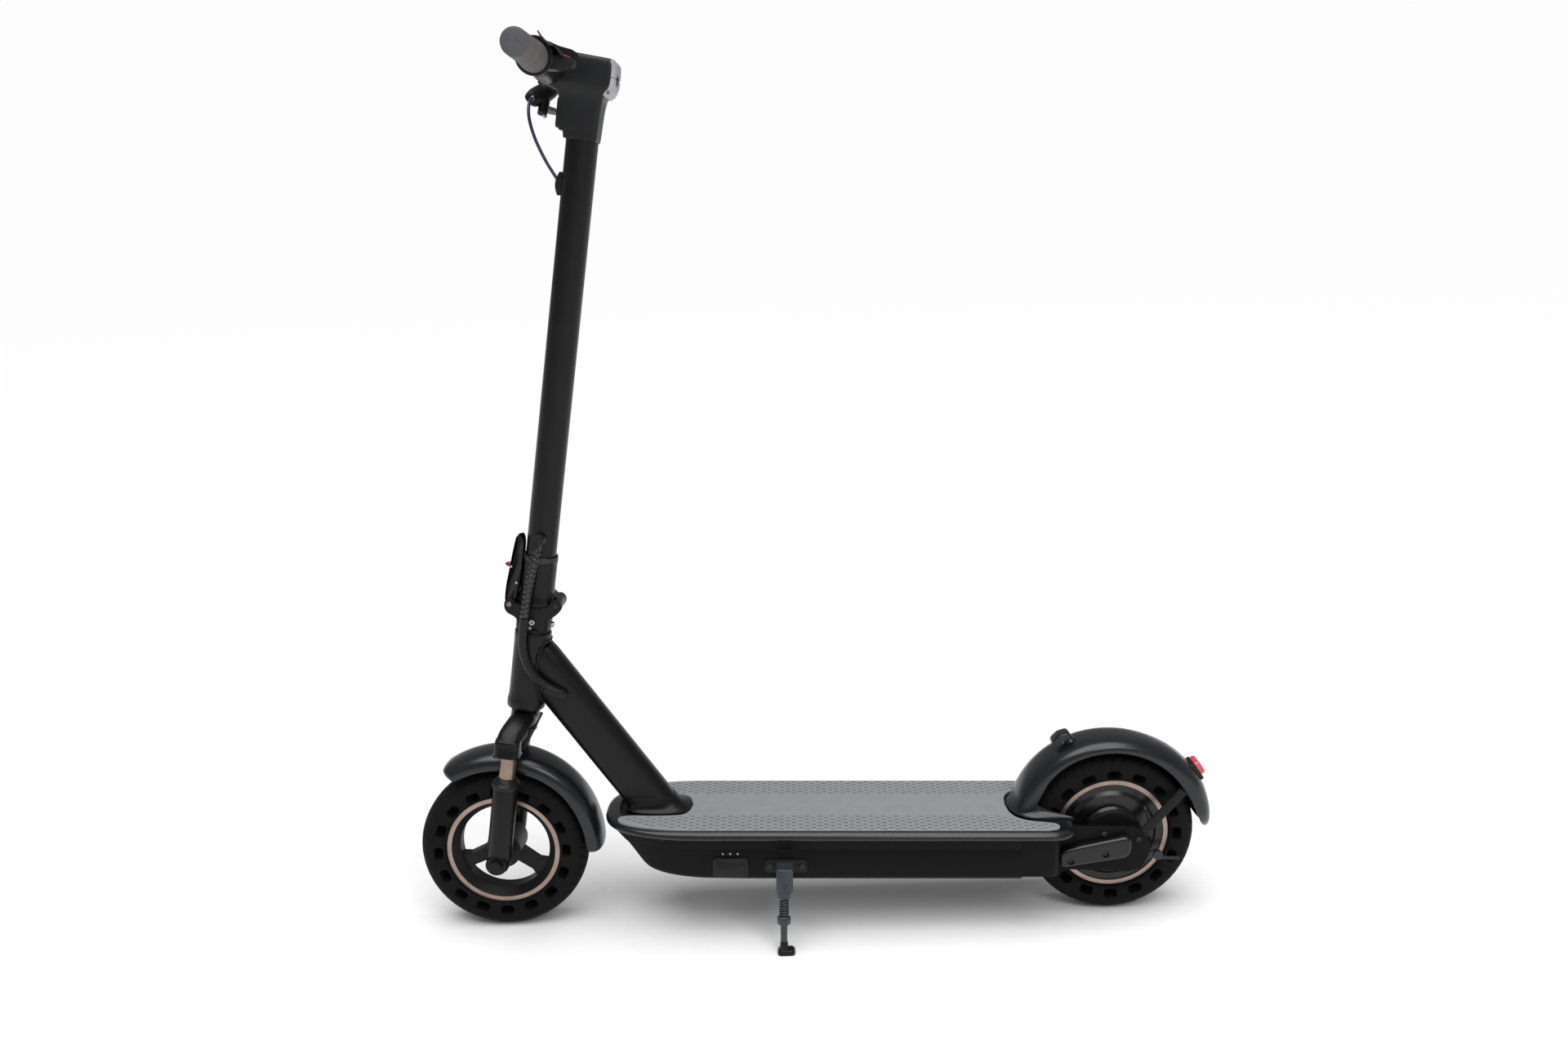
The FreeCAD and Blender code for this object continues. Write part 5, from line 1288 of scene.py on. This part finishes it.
ARM_Y = sum(c.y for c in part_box("brake_arm")) / 2 / MM
adjuster = joined(rod((-553, ARM_Y, -63), (-584, ARM_Y, -64), 2.2, chamfer=0.4),
                  *(moved(lathe([(1, 0), (2.8, 0.4), (2.8, 1), (1, 1.4)], 18, closed=True),
                          shifted(-555 - 2 * k, ARM_Y, -63 - 0.06 * k) @ turned(90, "Z")) for k in range(14)),
                  rod((-528.8, 43, 16), (-528.8, 45.6, 16), 2.4, chamfer=0.5))
piece("cable_adjuster", adjuster, deck, "dark_steel", "frame")
feed = swept([(-528.8, 44, 15, 1, 1), (-535, 44, -4, 1, 1), (-536.5, 44.6, -18, 1, 1),
              (-536.5, 45.4, -30, 1, 1)], per_span=10, around=12, power=2)
piece("feed_wire", feed, deck, "soft_black", "frame", crease=60)


# ---- stage ----

def add_light(name, spot, aim, size, watts):
    data = bpy.data.lights.new(name, "AREA")
    data.shape, data.size, data.size_y = "RECTANGLE", *size
    data.energy = watts
    obj = bpy.data.objects.new(name, data)
    scene.collection.objects.link(obj)
    away = Vector(spot) - Vector(aim)
    obj.matrix_world = Matrix.Translation(spot) @ away.to_track_quat("Z", "Y").to_matrix().to_4x4()


def add_sun(name, towards, strength, spread):
    data = bpy.data.lights.new(name, "SUN")
    data.energy, data.angle = strength, math.radians(spread)
    obj = bpy.data.objects.new(name, data)
    scene.collection.objects.link(obj)
    obj.matrix_world = Vector(towards).to_track_quat("Z", "Y").to_matrix().to_4x4()


FLOOR_HALF, SKY_AS_LIGHT, SKY_SEEN = 60, 0.3, 0.99


def add_stage():
    mesh = bpy.data.meshes.new("floor")
    half = FLOOR_HALF
    mesh.from_pydata([(-half, -half, 0), (half, -half, 0), (half, half, 0), (-half, half, 0)], [],
                     [(0, 1, 2, 3)])
    floor = bpy.data.objects.new("floor", mesh)
    floor.data.materials.append(finish("pale_floor", (0.9, 0.9, 0.9), 0.8, tint=0.01, grain=300, bump=0.02,
                                       specular=0.1))
    scene.collection.objects.link(floor)
    world = bpy.data.worlds.new("studio")
    world.use_nodes = True
    tree = world.node_tree
    back = tree.nodes["Background"]
    back.inputs["Color"].default_value = (0.99, 0.99, 0.995, 1)
    level = tree.nodes.new("ShaderNodeMapRange")
    level.inputs["To Min"].default_value, level.inputs["To Max"].default_value = SKY_AS_LIGHT, SKY_SEEN
    tree.links.new(tree.nodes.new("ShaderNodeLightPath").outputs["Is Camera Ray"], level.inputs["Value"])
    tree.links.new(level.outputs["Result"], back.inputs["Strength"])
    scene.world = world
    add_sun("ceiling", (0.05, 0.25, 1), 2.7, 55)
    add_light("key", (-1.2, 2.6, 2.6), (0, 0, 0.5), (1.6, 1.0), 30)
    scene.view_settings.view_transform = "Standard"


add_stage()
